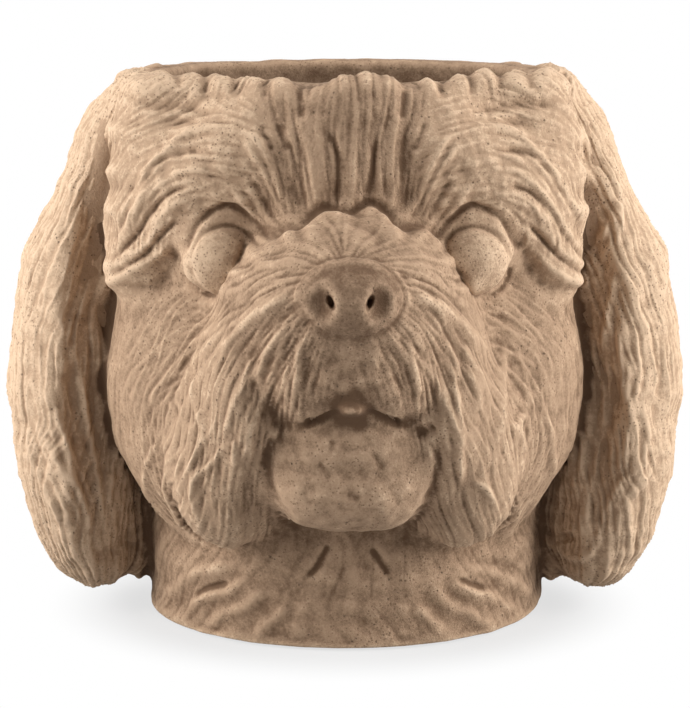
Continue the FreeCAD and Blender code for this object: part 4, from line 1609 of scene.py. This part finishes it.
@dataclass
class Casting:
    """The whole skin: a distance field, meshed, covered in relief and split into pieces.

    Edges say how far edges are rounded, margins how far round a form it is worked out, and bands where
    something starts and where it is complete. sharing says how narrowly masses share their fur.
    """

    vessel: Vessel
    parts: Sequence[Part]
    pitch: float = 1.5
    low: Triple = (-150.0, -168.0, -3.0)
    high: Triple = (150.0, 102.0, 234.0)
    shell: float = 3.0
    rim_edge: float = 6.0
    mouth_edge: float = 3.0
    underside_edge: float = 0.8
    foot_edge: float = 1.2
    foot_step: float = 0.5
    blend_margin: float = 3.0
    owner_margin: float = 14.0
    probe: float = 0.3
    least_steep: float = 0.05
    sharing: float = 1.6
    least_share: float = 0.02
    foot_band: Pair = (0.5, 4.0)
    mouth_band: Pair = (2.0, 9.0)
    bare_height: float = 0.35
    bare_band: Pair = (30.0, 60.0)
    foot_top: float = 6.0
    inside_margin: float = 4.0
    underside_margin: float = 1.5
    # The wall is painted neither paler nor darker; the neck under the head and the planting space are painted
    # darker as painted shade.
    wall_patina: float = 0.0
    ruff_patina: float = -0.16
    inside_patina: float = -0.3
    masses: list[Mass] = field(init=False)
    hollows: list[Carving] = field(init=False)

    def __post_init__(self) -> None:
        """Collect the masses and carvings of every part."""
        self.masses = [mass for part in self.parts for mass in part.masses()]
        self.hollows = [carving for part in self.parts for carving in part.carvings()]

    @staticmethod
    def near(form: Form, points: Array, margin: float) -> Array:
        """Numbers of the points in a form's box, widened by a margin."""
        low, high = form.corners()
        return np.flatnonzero(np.all((points > low - margin) & (points < high + margin), axis=1))

    def distance(self, points: Array) -> Array:
        """Distance of points from the skin before its relief.

        Args:
            points: Places in millimetres.

        Returns:
            Distances, negative inside the stone.
        """
        total = self.vessel.wall(points)
        for mass in self.masses:
            some = self.near(mass.form, points, mass.blend + self.blend_margin)
            total[some] = soft_min(total[some], mass.form.distance(points[some]), mass.blend)
        radius, z = np.hypot(points[:, 0], points[:, 1]), points[:, 2]
        total = soft_max(total, z - self.vessel.top(points), self.rim_edge)
        total = soft_max(total, -self.vessel.space(points), self.mouth_edge)
        total = soft_max(total, -self.vessel.underside(points), self.underside_edge)
        neck = self.vessel.neck_radius
        foot = self.vessel.ruff_lift * smoothstep(neck - self.foot_step, neck + self.foot_step, radius)
        total = soft_max(total, foot - z, self.foot_edge)
        for carving in self.hollows:
            some = self.near(carving.form, points, carving.blend + self.blend_margin)
            total[some] = soft_max(total[some], -carving.form.distance(points[some]), carving.blend)
        return total

    def by_mass(self, points: Array) -> Array:
        """Distance of points from the wall, the ruff and every mass, one column each.

        Args:
            points: Places in millimetres.

        Returns:
            Distances in millimetres.
        """
        wall = self.vessel.wall(points)
        table = np.full((len(points), len(self.masses) + 2), FAR)
        upper = points[:, 2] > self.vessel.shoulder
        table[upper, 0] = wall[upper]
        table[~upper, 1] = wall[~upper]
        for column, mass in enumerate(self.masses, start=2):
            some = self.near(mass.form, points, self.owner_margin)
            table[some, column] = mass.form.distance(points[some])
        return table

    def settle(self, points: Array, rounds: int) -> Array:
        """Move points onto the skin along its slope.

        Args:
            points: Places in millimetres.
            rounds: How often they are moved.

        Returns:
            Places on the skin.
        """
        steps = self.probe * np.eye(3)
        for _ in range(rounds):
            here = self.distance(points)
            slope = np.stack([(self.distance(points + step) - here) / self.probe for step in steps], axis=1)
            steep = np.maximum(np.sum(slope ** 2, axis=1), self.least_steep)
            move = np.clip(here / steep, -self.pitch, self.pitch)
            points = points - move[:, None] * slope
        return points

    def sample(self) -> tuple[Array, Array]:
        """Work out the distance at every corner of the grid.

        Returns:
            The distances, and the grid's lowest corner.
        """
        axes = [np.arange(a, b, self.pitch) for a, b in zip(self.low, self.high)]
        shape = tuple(len(axis) for axis in axes)
        values = np.empty(shape)
        for index, x in enumerate(axes[0]):
            y, z = np.meshgrid(axes[1], axes[2], indexing="ij")
            layer = np.stack([np.full(y.size, x), y.ravel(), z.ravel()], axis=1)
            values[index] = self.distance(layer).reshape(shape[1:])
        return values, np.array(self.low)

    def mesh(self) -> QuadMesh:
        """Put a quad skin round the field: one vertex in each cell that the surface passes.

        Returns:
            The mesh.
        """
        values, origin = self.sample()
        inside = values < 0.0
        cells = np.array(values.shape) - 1
        strides = np.array([cells[1] * cells[2], cells[2], 1])
        total = np.zeros((cells.prod(), 3))
        count = np.zeros(cells.prod())
        crossings = []
        for axis in range(3):
            here = [slice(None)] * 3
            there = [slice(None)] * 3
            here[axis], there[axis] = slice(None, -1), slice(1, None)
            changed = np.argwhere(inside[tuple(here)] != inside[tuple(there)])
            ahead = changed + np.eye(3, dtype=int)[axis]
            first, second = values[tuple(changed.T)], values[tuple(ahead.T)]
            place = changed.astype(float)
            place[:, axis] += first / (first - second)
            others = [k for k in range(3) if k != axis]
            good = np.all((changed[:, others] > 0) & (changed[:, others] < cells[others]), axis=1)
            changed, place, rising = changed[good], place[good], first[good] < 0.0
            ring = []
            for back_a, back_b in ((1, 1), (0, 1), (0, 0), (1, 0)):
                cell = changed.copy()
                cell[:, others[0]] -= back_a
                cell[:, others[1]] -= back_b
                number = cell @ strides
                ring.append(number)
                count += np.bincount(number, minlength=len(count))
                for k in range(3):
                    total[:, k] += np.bincount(number, place[:, k], len(count))
            ring = np.stack(ring, axis=1)
            flip = rising if axis != 1 else ~rising
            crossings.append(np.where(flip[:, None], ring, ring[:, ::-1]))
        used = np.flatnonzero(count)
        renumber = np.full(len(count), -1)
        renumber[used] = np.arange(len(used))
        points = total[used] / count[used, None] * self.pitch + origin
        return QuadMesh(points, renumber[np.concatenate(crossings)])

    def cover(self, points: Array) -> tuple[Array, Array]:
        """Height of the fur over the skin and how much paler it is painted, as weathering and as painted
        light and shade, shared between masses where they meet.

        Args:
            points: Places in millimetres.

        Returns:
            Heights in millimetres, and how much paler each place is painted, partly weathering and partly
            painted light and shade.
        """
        table = self.by_mass(points)
        nearest = table.min(axis=1)
        reliefs = [self.vessel.relief, self.vessel.ruff_relief] + [mass.relief for mass in self.masses]
        patinas_and_painted_light = [self.wall_patina, self.ruff_patina] + [mass.patina for mass in self.masses]
        height, weight = np.zeros(len(points)), np.full(len(points), LEAST_SUM)
        patina = np.zeros(len(points))
        for column, (relief, worn_and_painted_light) in enumerate(zip(reliefs, patinas_and_painted_light)):
            share = np.exp(-(table[:, column] - nearest) / self.sharing)
            some = np.flatnonzero(share > self.least_share)
            if len(some):
                height[some] += share[some] * relief(points[some])
                patina[some] += share[some] * worn_and_painted_light
                weight[some] += share[some]
        outside = self.outside(points)
        foot = smoothstep(*self.foot_band, points[:, 2])
        away = np.hypot(points[:, 0], points[:, 1])
        bare = self.bare_height * lumps(points, 9.0, 401) * smoothstep(*self.bare_band, away)
        height = (outside * height / weight + (1.0 - outside) * bare) * foot
        # In the planting space the tone is its painted shade.
        return height, outside * patina / weight + (1.0 - outside) * self.inside_patina

    def outside(self, points: Array) -> Array:
        """1 on the outside of the pot, 0 on the bare wall of the planting space."""
        return smoothstep(*self.mouth_band, self.vessel.space(points))

    def owners(self, points: Array) -> Array:
        """Tell which mass owns each place.

        Args:
            points: Places in millimetres.

        Returns:
            0 for the wall, 1 for the ruff, then the masses, and -1 inside the pot.
        """
        owner = self.by_mass(points).argmin(axis=1)
        radius, z = np.hypot(points[:, 0], points[:, 1]), points[:, 2]
        foot = z < self.foot_top
        owner[foot & (radius > self.vessel.neck_radius)] = 1
        bare = self.vessel.space(points) < self.inside_margin
        bare |= self.vessel.underside(points) < self.underside_margin
        bare |= foot & (radius <= self.vessel.neck_radius)
        owner[bare] = -1
        return owner


@dataclass
class Link:
    """A shader socket that can be used in sums."""

    tree: "Shading"
    socket: bpy.types.NodeSocket

    def _with(self, operation: str, other: "Value", swapped: bool = False) -> "Link":
        """Add a Math node on this socket and another value."""
        ends = (other, self) if swapped else (self, other)
        return self.tree.node("ShaderNodeMath", {"operation": operation}, {0: ends[0], 1: ends[1]})

    def __add__(self, other: "Value") -> "Link":
        """Sum."""
        return self._with("ADD", other)

    def __radd__(self, other: "Value") -> "Link":
        """Sum."""
        return self._with("ADD", other, True)

    def __sub__(self, other: "Value") -> "Link":
        """Difference."""
        return self._with("SUBTRACT", other)

    def __rsub__(self, other: "Value") -> "Link":
        """Difference from a value."""
        return self._with("SUBTRACT", other, True)

    def __mul__(self, other: "Value") -> "Link":
        """Product."""
        return self._with("MULTIPLY", other)

    def __rmul__(self, other: "Value") -> "Link":
        """Product."""
        return self._with("MULTIPLY", other, True)


Value = Union[Link, float]
Colour = tuple[float, float, float]


@dataclass
class Shading:
    """Node tree of one material or world."""

    material: Union[bpy.types.Material, bpy.types.World]

    def node(self, kind: str, settings: Optional[dict] = None, inputs: Optional[dict] = None,
             output: Union[int, str] = 0) -> Link:
        """Add a node.

        Args:
            kind: The node's type.
            settings: Properties, set first; "stops" are a ramp's places and colours.
            inputs: Values or links by socket number or name.
            output: The socket to hand back.

        Returns:
            The chosen output.
        """
        tree = self.material.node_tree
        made = tree.nodes.new(kind)
        for name, value in (settings or {}).items():
            if name == "stops":
                for stop, (place, colour) in zip(made.color_ramp.elements, value):
                    stop.position, stop.color = place, (*colour, 1.0)
            else:
                setattr(made, name, value)
        for name, value in (inputs or {}).items():
            if isinstance(value, Link):
                tree.links.new(value.socket, made.inputs[name])
            else:
                made.inputs[name].default_value = value
        return Link(self, made.outputs[output])

    def ramp(self, value: Link, low: float, high: float) -> Link:
        """Rise smoothly from 0 to 1 between two values."""
        return self.node("ShaderNodeMapRange", {"interpolation_type": "SMOOTHSTEP"},
                         {"Value": value, "From Min": low, "From Max": high})

    def mix(self, share: Value, first: Union[Link, Colour], second: Union[Link, Colour],
            blend: str = "MIX") -> Link:
        """Mix two colours.

        Args:
            share: Share of the second colour.
            first: The colour below.
            second: The colour above.
            blend: How it is laid on.

        Returns:
            The mixed colour.
        """
        made = {6: first, 7: second}
        made = {key: value if isinstance(value, Link) else (*value, 1.0) for key, value in made.items()}
        return self.node("ShaderNodeMix", {"data_type": "RGBA", "blend_type": blend},
                         {0: share, **made}, 2)

    def plain_sight(self) -> Link:
        """Tell what the camera sees from light that falls on things.

        Returns:
            1 for what is seen straight, mirrored or through glass, and else 0.
        """
        seen: Value = 0.0
        for kind in ("Camera", "Glossy", "Transmission"):
            ray = self.node("ShaderNodeLightPath", output=f"Is {kind} Ray")
            seen = self.node("ShaderNodeMath", {"operation": "MAXIMUM"}, {0: seen, 1: ray})
        return seen

    def noise(self, place: Link, scale: float, detail: float = 3.0, rough: float = 0.6) -> Link:
        """Cloudy value, 0 to 1."""
        return self.node("ShaderNodeTexNoise", {}, {
            "Vector": place, "Scale": scale, "Detail": detail, "Roughness": rough})

    def spots(self, place: Link, scale: float, edge: float, core: float) -> Link:
        """Round spots: 0 beyond their edge, 1 within their core, both as shares of a cell."""
        inputs = {"Vector": place, "Scale": scale}
        return self.ramp(self.node("ShaderNodeTexVoronoi", {"feature": "F1"}, inputs, "Distance"), edge, core)


class Finish(ABC):
    """How a surface looks."""

    @abstractmethod
    def material(self) -> bpy.types.Material:
        """Make the material."""

    @staticmethod
    def start(name: str) -> tuple[Shading, bpy.types.Node]:
        """A new material with its shader.

        Args:
            name: The material's name.

        Returns:
            Its node tree and its shader.
        """
        made = bpy.data.materials.new(name)
        made.use_nodes = True
        return Shading(made), made.node_tree.nodes["Principled BSDF"]


# Vertex attributes: the tone, and the painted shade of broad hollows.
TONE = "tone"
PAINTED_HOLLOW_SHADE = "stain"


@dataclass(frozen=True)
class StoneFinish(Finish):
    """Sandy cast stone, pitted and mottled, pale on its crests and brown in its hollows, partly from wear and
    its washed finish and partly as painted shade of the hollows.
    """

    pale: Colour = (0.59, 0.422, 0.285)
    middle: Colour = (0.40, 0.268, 0.172)
    deep: Colour = (0.135, 0.077, 0.043)
    pit: Colour = (0.07, 0.043, 0.027)
    roughness: float = 0.88

    def material(self) -> bpy.types.Material:
        """Make the stone.

        Returns:
            The material.
        """
        shade, shader = self.start(Slot.STONE.value)
        place = shade.node("ShaderNodeTexCoord", output="Object")
        tone = shade.node("ShaderNodeAttribute", {"attribute_name": TONE}, output="Fac")
        stain = shade.node("ShaderNodeAttribute", {"attribute_name": PAINTED_HOLLOW_SHADE}, output="Fac")
        grain = shade.noise(place, 1100.0, 4.0, 0.7)
        speckle = shade.noise(place, 420.0, 3.0, 0.6)
        blotch = shade.noise(place, 120.0, 4.0, 0.65)
        cloud = shade.noise(place, 24.0, 3.0, 0.6)
        mottle = 0.75 * (speckle - 0.5) + 0.65 * (blotch - 0.5) + 0.5 * (cloud - 0.5) + 0.8 * (grain - 0.5)
        # The tone turns crests pale and leaves hollows middle: partly the finish, partly painted light and
        # shade.
        colour = shade.mix(shade.ramp(tone + mottle, 0.5, 0.95), self.middle, self.pale)
        # Low tone darkens to the deep colour: the wash of the hollows, painted shade, and the darker tints of
        # the masses.
        colour = shade.mix(shade.ramp(tone + 0.5 * mottle, 0.55, 0.05), colour, self.deep)
        # Painted shade: broad hollows darken further towards the deep colour.
        colour = shade.mix(0.75 * shade.ramp(stain + 0.5 * (blotch - 0.5), 0.3, 1.0), colour, self.deep)
        choice = shade.noise(place, 190.0, 2.0, 0.5)
        pits = shade.spots(place, 420.0, 0.24, 0.08) * shade.ramp(choice, 0.54, 0.64)
        colour = shade.mix(0.5 * pits, colour, self.pit)
        flecks = shade.spots(place, 620.0, 0.32, 0.14) * shade.ramp(blotch + cloud, 0.92, 1.1)
        colour = shade.mix(0.7 * flecks, colour, self.deep)
        tree = shade.material.node_tree
        tree.links.new(colour.socket, shader.inputs["Base Color"])
        rough = shade.node("ShaderNodeBump", {}, {
            "Height": grain + 0.5 * blotch - 1.2 * pits, "Strength": 0.8, "Distance": 0.0006}, "Normal")
        tree.links.new(rough.socket, shader.inputs["Normal"])
        shader.inputs["Roughness"].default_value = self.roughness
        shader.inputs["Specular IOR Level"].default_value = 0.25
        return shade.material


@dataclass(frozen=True)
class RubberFinish(Finish):
    """Dull black rubber."""

    colour: Colour = (0.022, 0.021, 0.02)
    dusty: Colour = (0.09, 0.08, 0.07)
    roughness: float = 0.62

    def material(self) -> bpy.types.Material:
        """Make the rubber.

        Returns:
            The material.
        """
        shade, shader = self.start(Slot.RUBBER.value)
        place = shade.node("ShaderNodeTexCoord", output="Object")
        dust = shade.noise(place, 160.0, 4.0, 0.6)
        colour = shade.mix(0.5 * shade.ramp(dust, 0.5, 0.8), self.colour, self.dusty)
        shade.material.node_tree.links.new(colour.socket, shader.inputs["Base Color"])
        shader.inputs["Roughness"].default_value = self.roughness
        return shade.material


@dataclass(frozen=True)
class FloorFinish(Finish):
    """White floor that keeps the shadow near the pot and is plain white farther off."""

    colour: Colour = (0.45, 0.45, 0.45)
    glow: float = 0.7
    near: float = 0.088
    far: float = 0.13

    def material(self) -> bpy.types.Material:
        """Make the floor.

        Returns:
            The material.
        """
        shade, shader = self.start("studio_floor")
        tree = shade.material.node_tree
        shader.inputs["Base Color"].default_value = (*self.colour, 1.0)
        shader.inputs["Roughness"].default_value = 1.0
        shader.inputs["Specular IOR Level"].default_value = 0.0
        place = shade.node("ShaderNodeTexCoord", output="Object")
        away = shade.node("ShaderNodeVectorMath", {"operation": "LENGTH"}, {0: place}, "Value")
        share = shade.plain_sight() * (self.glow + (1.0 - self.glow) * shade.ramp(away, self.near, self.far))
        white = shade.node("ShaderNodeEmission", {}, {"Color": (1.0, 1.0, 1.0, 1.0), "Strength": 1.0})
        mixed = shade.node("ShaderNodeMixShader", {}, {0: share, 1: Link(shade, shader.outputs[0]), 2: white})
        tree.links.new(mixed.socket, tree.nodes["Material Output"].inputs["Surface"])
        return shade.material


@dataclass
class Sculpture:
    """The stone pieces: the casting's skin cut along the borders of the CAD nodes."""

    casting: Casting
    drawing: Drawing
    finish: Finish
    near_weight: float = 4.0
    wide_weight: float = 5.0
    # The last weight is for the painted shade of broad hollows.
    stain_weight: float = 12.0
    near_rounds: int = 3
    wide_rounds: int = 30
    mid_tone: float = 0.5
    coarse: QuadMesh = field(init=False)
    fine: QuadMesh = field(init=False)
    base: Array = field(init=False)
    base_normals: Array = field(init=False)
    normals: Array = field(init=False)
    side_numbers: Array = field(init=False)
    tones: dict[str, Array] = field(init=False)

    def form(self) -> None:
        """Mesh the skin, refine it, raise the fur and work out the tones."""
        rough = self.casting.mesh()
        pairs, _ = rough.edges()
        around = Neighbours(pairs, len(rough.points))
        eased = np.stack([around.smooth(rough.points[:, k], 1) for k in range(3)], axis=1)
        self.coarse = QuadMesh(self.casting.settle(eased, 2), rough.quads)
        self.fine = self.coarse.split()
        self.fine.points = self.casting.settle(self.fine.points, 1)
        base = self.fine.normals()
        self.base_normals = base[:len(self.coarse.points)]
        self.base = self.fine.points
        height, patina = self.casting.cover(self.base)
        height += self.casting.outside(self.base) * self.drawing.relief(self.base, base)
        self.fine.points = self.base + base * height[:, None]
        self.normals = self.fine.normals()
        self.tones = self.shades(patina)
        log.info("skin: %d coarse and %d fine quads", len(self.coarse.quads), len(self.fine.quads))

    def shades(self, patina: Array) -> dict[str, Array]:
        """How far each vertex stands proud of its surroundings, near by and farther off, over its patina:
        paler crests and darker hollows, partly the casting's finish and partly painted shade.

        Args:
            patina: Patina of each vertex, with its painted light and shade.

        Returns:
            Tone of each vertex, and the painted shade of its broad hollows, 0 to 1.
        """
        pairs, _ = self.fine.edges()
        around = Neighbours(pairs, len(self.fine.points))
        flat = np.stack([around.mean(self.fine.points[:, k]) for k in range(3)], axis=1)
        proud = np.sum((self.fine.points - flat) * self.normals, axis=1)
        near, wide = (around.smooth(proud, rounds) for rounds in (self.near_rounds, self.wide_rounds))
        # Tone: paler on crests and darker in hollows, partly the casting's dry-brushed finish and partly
        # painted shade of its hollows.
        tone = np.clip(self.mid_tone + patina + self.near_weight * near + self.wide_weight * wide, 0.0, 1.0)
        # Painted shade: broad hollows are darkened as if occluded.
        stain = np.clip(-self.stain_weight * wide, 0.0, 1.0)
        return {TONE: tone, PAINTED_HOLLOW_SHADE: stain}

    def piece(self, name: str, faces: Array, detailed: bool) -> bpy.types.Object:
        """Make one closed piece from some of the coarse faces.

        Args:
            name: The piece's name.
            faces: Numbers of the coarse faces.
            detailed: Whether it has the fine skin.

        Returns:
            The object, in metres.
        """
        quads = self.coarse.quads[faces]
        outer = self.fine.quads.reshape(-1, 4, 4)[faces].reshape(-1, 4) if detailed else quads
        used, outer_local = np.unique(outer, return_inverse=True)
        outer_local = outer_local.reshape(-1, 4)
        back, back_local = np.unique(quads, return_inverse=True)
        back_local = back_local.reshape(-1, 4) + len(used)
        backing = self.base[back] - self.casting.shell * self.base_normals[back]
        points = np.concatenate([self.fine.points[used], backing]) * MM
        loops = [outer_local, back_local[:, ::-1]]
        sides = np.stack([quads, np.roll(quads, -1, axis=1)], axis=2).reshape(-1, 2)
        numbers = self.side_numbers[faces].ravel()
        _, first, times = np.unique(numbers, return_index=True, return_counts=True)
        border = first[times == 1]
        front_of = np.full(len(self.fine.points), -1)
        front_of[used] = np.arange(len(used))
        back_of = np.full(len(self.coarse.points), -1)
        back_of[back] = np.arange(len(back)) + len(used)
        start, end = sides[border].T
        rings = [front_of[end]]
        if detailed:
            rings.append(front_of[len(self.coarse.points) + numbers[border]])
        rings += [front_of[start], back_of[start], back_of[end]]
        walls = np.stack(rings, axis=1)
        sizes = [4] * (len(loops[0]) + len(loops[1])) + [walls.shape[1]] * len(walls)
        corners = np.concatenate([loops[0].ravel(), loops[1].ravel(), walls.ravel()])
        mesh = bpy.data.meshes.new(name)
        mesh.vertices.add(len(points))
        mesh.vertices.foreach_set("co", points.ravel())
        mesh.loops.add(len(corners))
        mesh.loops.foreach_set("vertex_index", corners.astype(np.int32))
        mesh.polygons.add(len(sizes))
        starts = np.concatenate([[0], np.cumsum(sizes)[:-1]]).astype(np.int32)
        mesh.polygons.foreach_set("loop_start", starts)
        mesh.polygons.foreach_set("use_smooth", np.ones(len(sizes), bool))
        mesh.update(calc_edges=True)
        mesh.validate()
        for key, values in self.tones.items():
            layer = mesh.attributes.new(key, "FLOAT", "POINT")
            layer.data.foreach_set("value", np.concatenate([values[used], np.full(len(back), self.mid_tone)]))
        normals = np.concatenate([self.normals[used], -self.base_normals[back]])
        mesh.normals_split_custom_set_from_vertices(normals.astype(float))
        made = bpy.data.objects.new(name, mesh)
        bpy.context.scene.collection.objects.link(made)
        return made

    def build(self) -> list[bpy.types.Object]:
        """Cut the skin into pieces and dress each.

        Returns:
            The pieces.
        """
        self.form()
        _, self.side_numbers = self.coarse.edges()
        owner = self.casting.owners(self.coarse.points[self.coarse.quads].mean(axis=1))
        names = ["pot_vessel", "neck_ruff"] + [mass.node for mass in self.casting.masses]
        nodes: dict[str, list[int]] = {}
        for number, node in enumerate(names):
            nodes.setdefault(node, []).append(number)
        stone = self.finish.material()
        made = []
        for node, numbers in nodes.items():
            skin = self.piece(f"{node}_skin", np.flatnonzero(np.isin(owner, numbers)), detailed=True)
            made.append(self.dress(skin, node, stone))
        inside = self.piece("pot_inside", np.flatnonzero(owner == -1), detailed=False)
        made.append(self.dress(inside, "pot_vessel", stone))
        return made

    @staticmethod
    def dress(piece: bpy.types.Object, node: str, stone: bpy.types.Material) -> bpy.types.Object:
        """Give a piece its stone, its body and the node that it stands for.

        Args:
            piece: The piece.
            node: Name of the node.
            stone: Its material.

        Returns:
            The piece.
        """
        piece.data.materials.append(stone)
        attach(piece, Body.POT.value)
        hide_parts(node)
        log.info("%s: %d faces", piece.name, len(piece.data.polygons))
        return piece


@dataclass
class Plug:
    """The rubber drain plug, as turned in the CAD model."""

    finish: Finish

    def build(self) -> None:
        """Dress the CAD node."""
        node = bpy.data.objects["drain_plug"]
        node.data.materials.clear()
        node.data.materials.append(self.finish.material())
        log.info("%s: CAD shape of body %s with %s", node.name, Body.PLUG.value, Slot.RUBBER.value)


@dataclass
class Studio:
    """Camera, lamps, world and floor."""

    view: View = View()
    sky: float = 0.09
    side_lamp: Triple = (0.95, -0.25, 0.45)
    side_power: float = 17.2
    top_lamp: Triple = (0.0, 0.1, 1.2)
    top_power: float = 6.0
    lamp_size: float = 0.8
    aim: Triple = (0.0, 0.0, 0.12)
    floor_reach: float = 20.0

    def camera(self) -> None:
        """Set the camera where the photograph was taken from."""
        data = bpy.data.cameras.new("camera")
        data.lens = self.view.lens
        data.sensor_width = self.view.sensor
        made = bpy.data.objects.new("camera", data)
        made.location = [MM * value for value in self.view.place]
        made.rotation_euler = (math.radians(90.0 - self.view.pitch), 0.0, 0.0)
        bpy.context.scene.collection.objects.link(made)
        bpy.context.scene.camera = made

    def lamp(self, name: str, place: Triple, power: float) -> None:
        """Hang one soft square lamp that looks at the pot.

        Args:
            name: The lamp's name.
            place: Metres.
            power: Watts.
        """
        data = bpy.data.lights.new(name, "AREA")
        data.size = self.lamp_size
        data.energy = power
        made = bpy.data.objects.new(name, data)
        made.location = place
        direction = np.array(self.aim) - np.array(place)
        flat = math.hypot(direction[0], direction[1])
        made.rotation_euler = (math.atan2(flat, -direction[2]), 0.0, -math.atan2(direction[0], direction[1]))
        bpy.context.scene.collection.objects.link(made)

    def world(self) -> bpy.types.World:
        """A dim even sky that the camera sees as white.

        Returns:
            The world.
        """
        made = bpy.data.worlds.new("studio_world")
        made.use_nodes = True
        shade = Shading(made)
        strength = self.sky + (1.0 - self.sky) * shade.plain_sight()
        background = made.node_tree.nodes["Background"]
        background.inputs["Color"].default_value = (1.0, 1.0, 1.0, 1.0)
        made.node_tree.links.new(strength.socket, background.inputs["Strength"])
        return made

    def floor(self) -> None:
        """Lay the floor that the pot stands on."""
        mesh = bpy.data.meshes.new("floor")
        ways = ((-1, -1), (1, -1), (1, 1), (-1, 1))
        corners = [(self.floor_reach * x, self.floor_reach * y, 0.0) for x, y in ways]
        mesh.from_pydata(corners, [], [(0, 1, 2, 3)])
        floor = bpy.data.objects.new("floor", mesh)
        floor.data.materials.append(FloorFinish().material())
        bpy.context.scene.collection.objects.link(floor)

    def build(self) -> None:
        """Set up everything round the pot."""
        self.camera()
        for side in Side:
            self.lamp(f"{side.prefix}_lamp", side.mirror(self.side_lamp), self.side_power)
        self.lamp("top_lamp", self.top_lamp, self.top_power)
        scene = bpy.context.scene
        scene.view_settings.view_transform = "Standard"
        scene.world = self.world()
        self.floor()


def main() -> None:
    """Build the pot and its studio."""
    logging.basicConfig(level=logging.INFO, format="%(message)s")
    parts: list[Part] = []
    parts += [Cheek(side) for side in Side]
    parts += [Forelock()]
    parts += [Brow(side) for side in Side]
    parts += [Ear(side) for side in Side]
    parts += [Muzzle(), Chin()]
    parts += [Eye(side) for side in Side]
    Studio().build()
    Sculpture(Casting(Vessel(), parts), Drawing(), StoneFinish()).build()
    Plug(RubberFinish()).build()


if __name__ == "__main__":
    main()
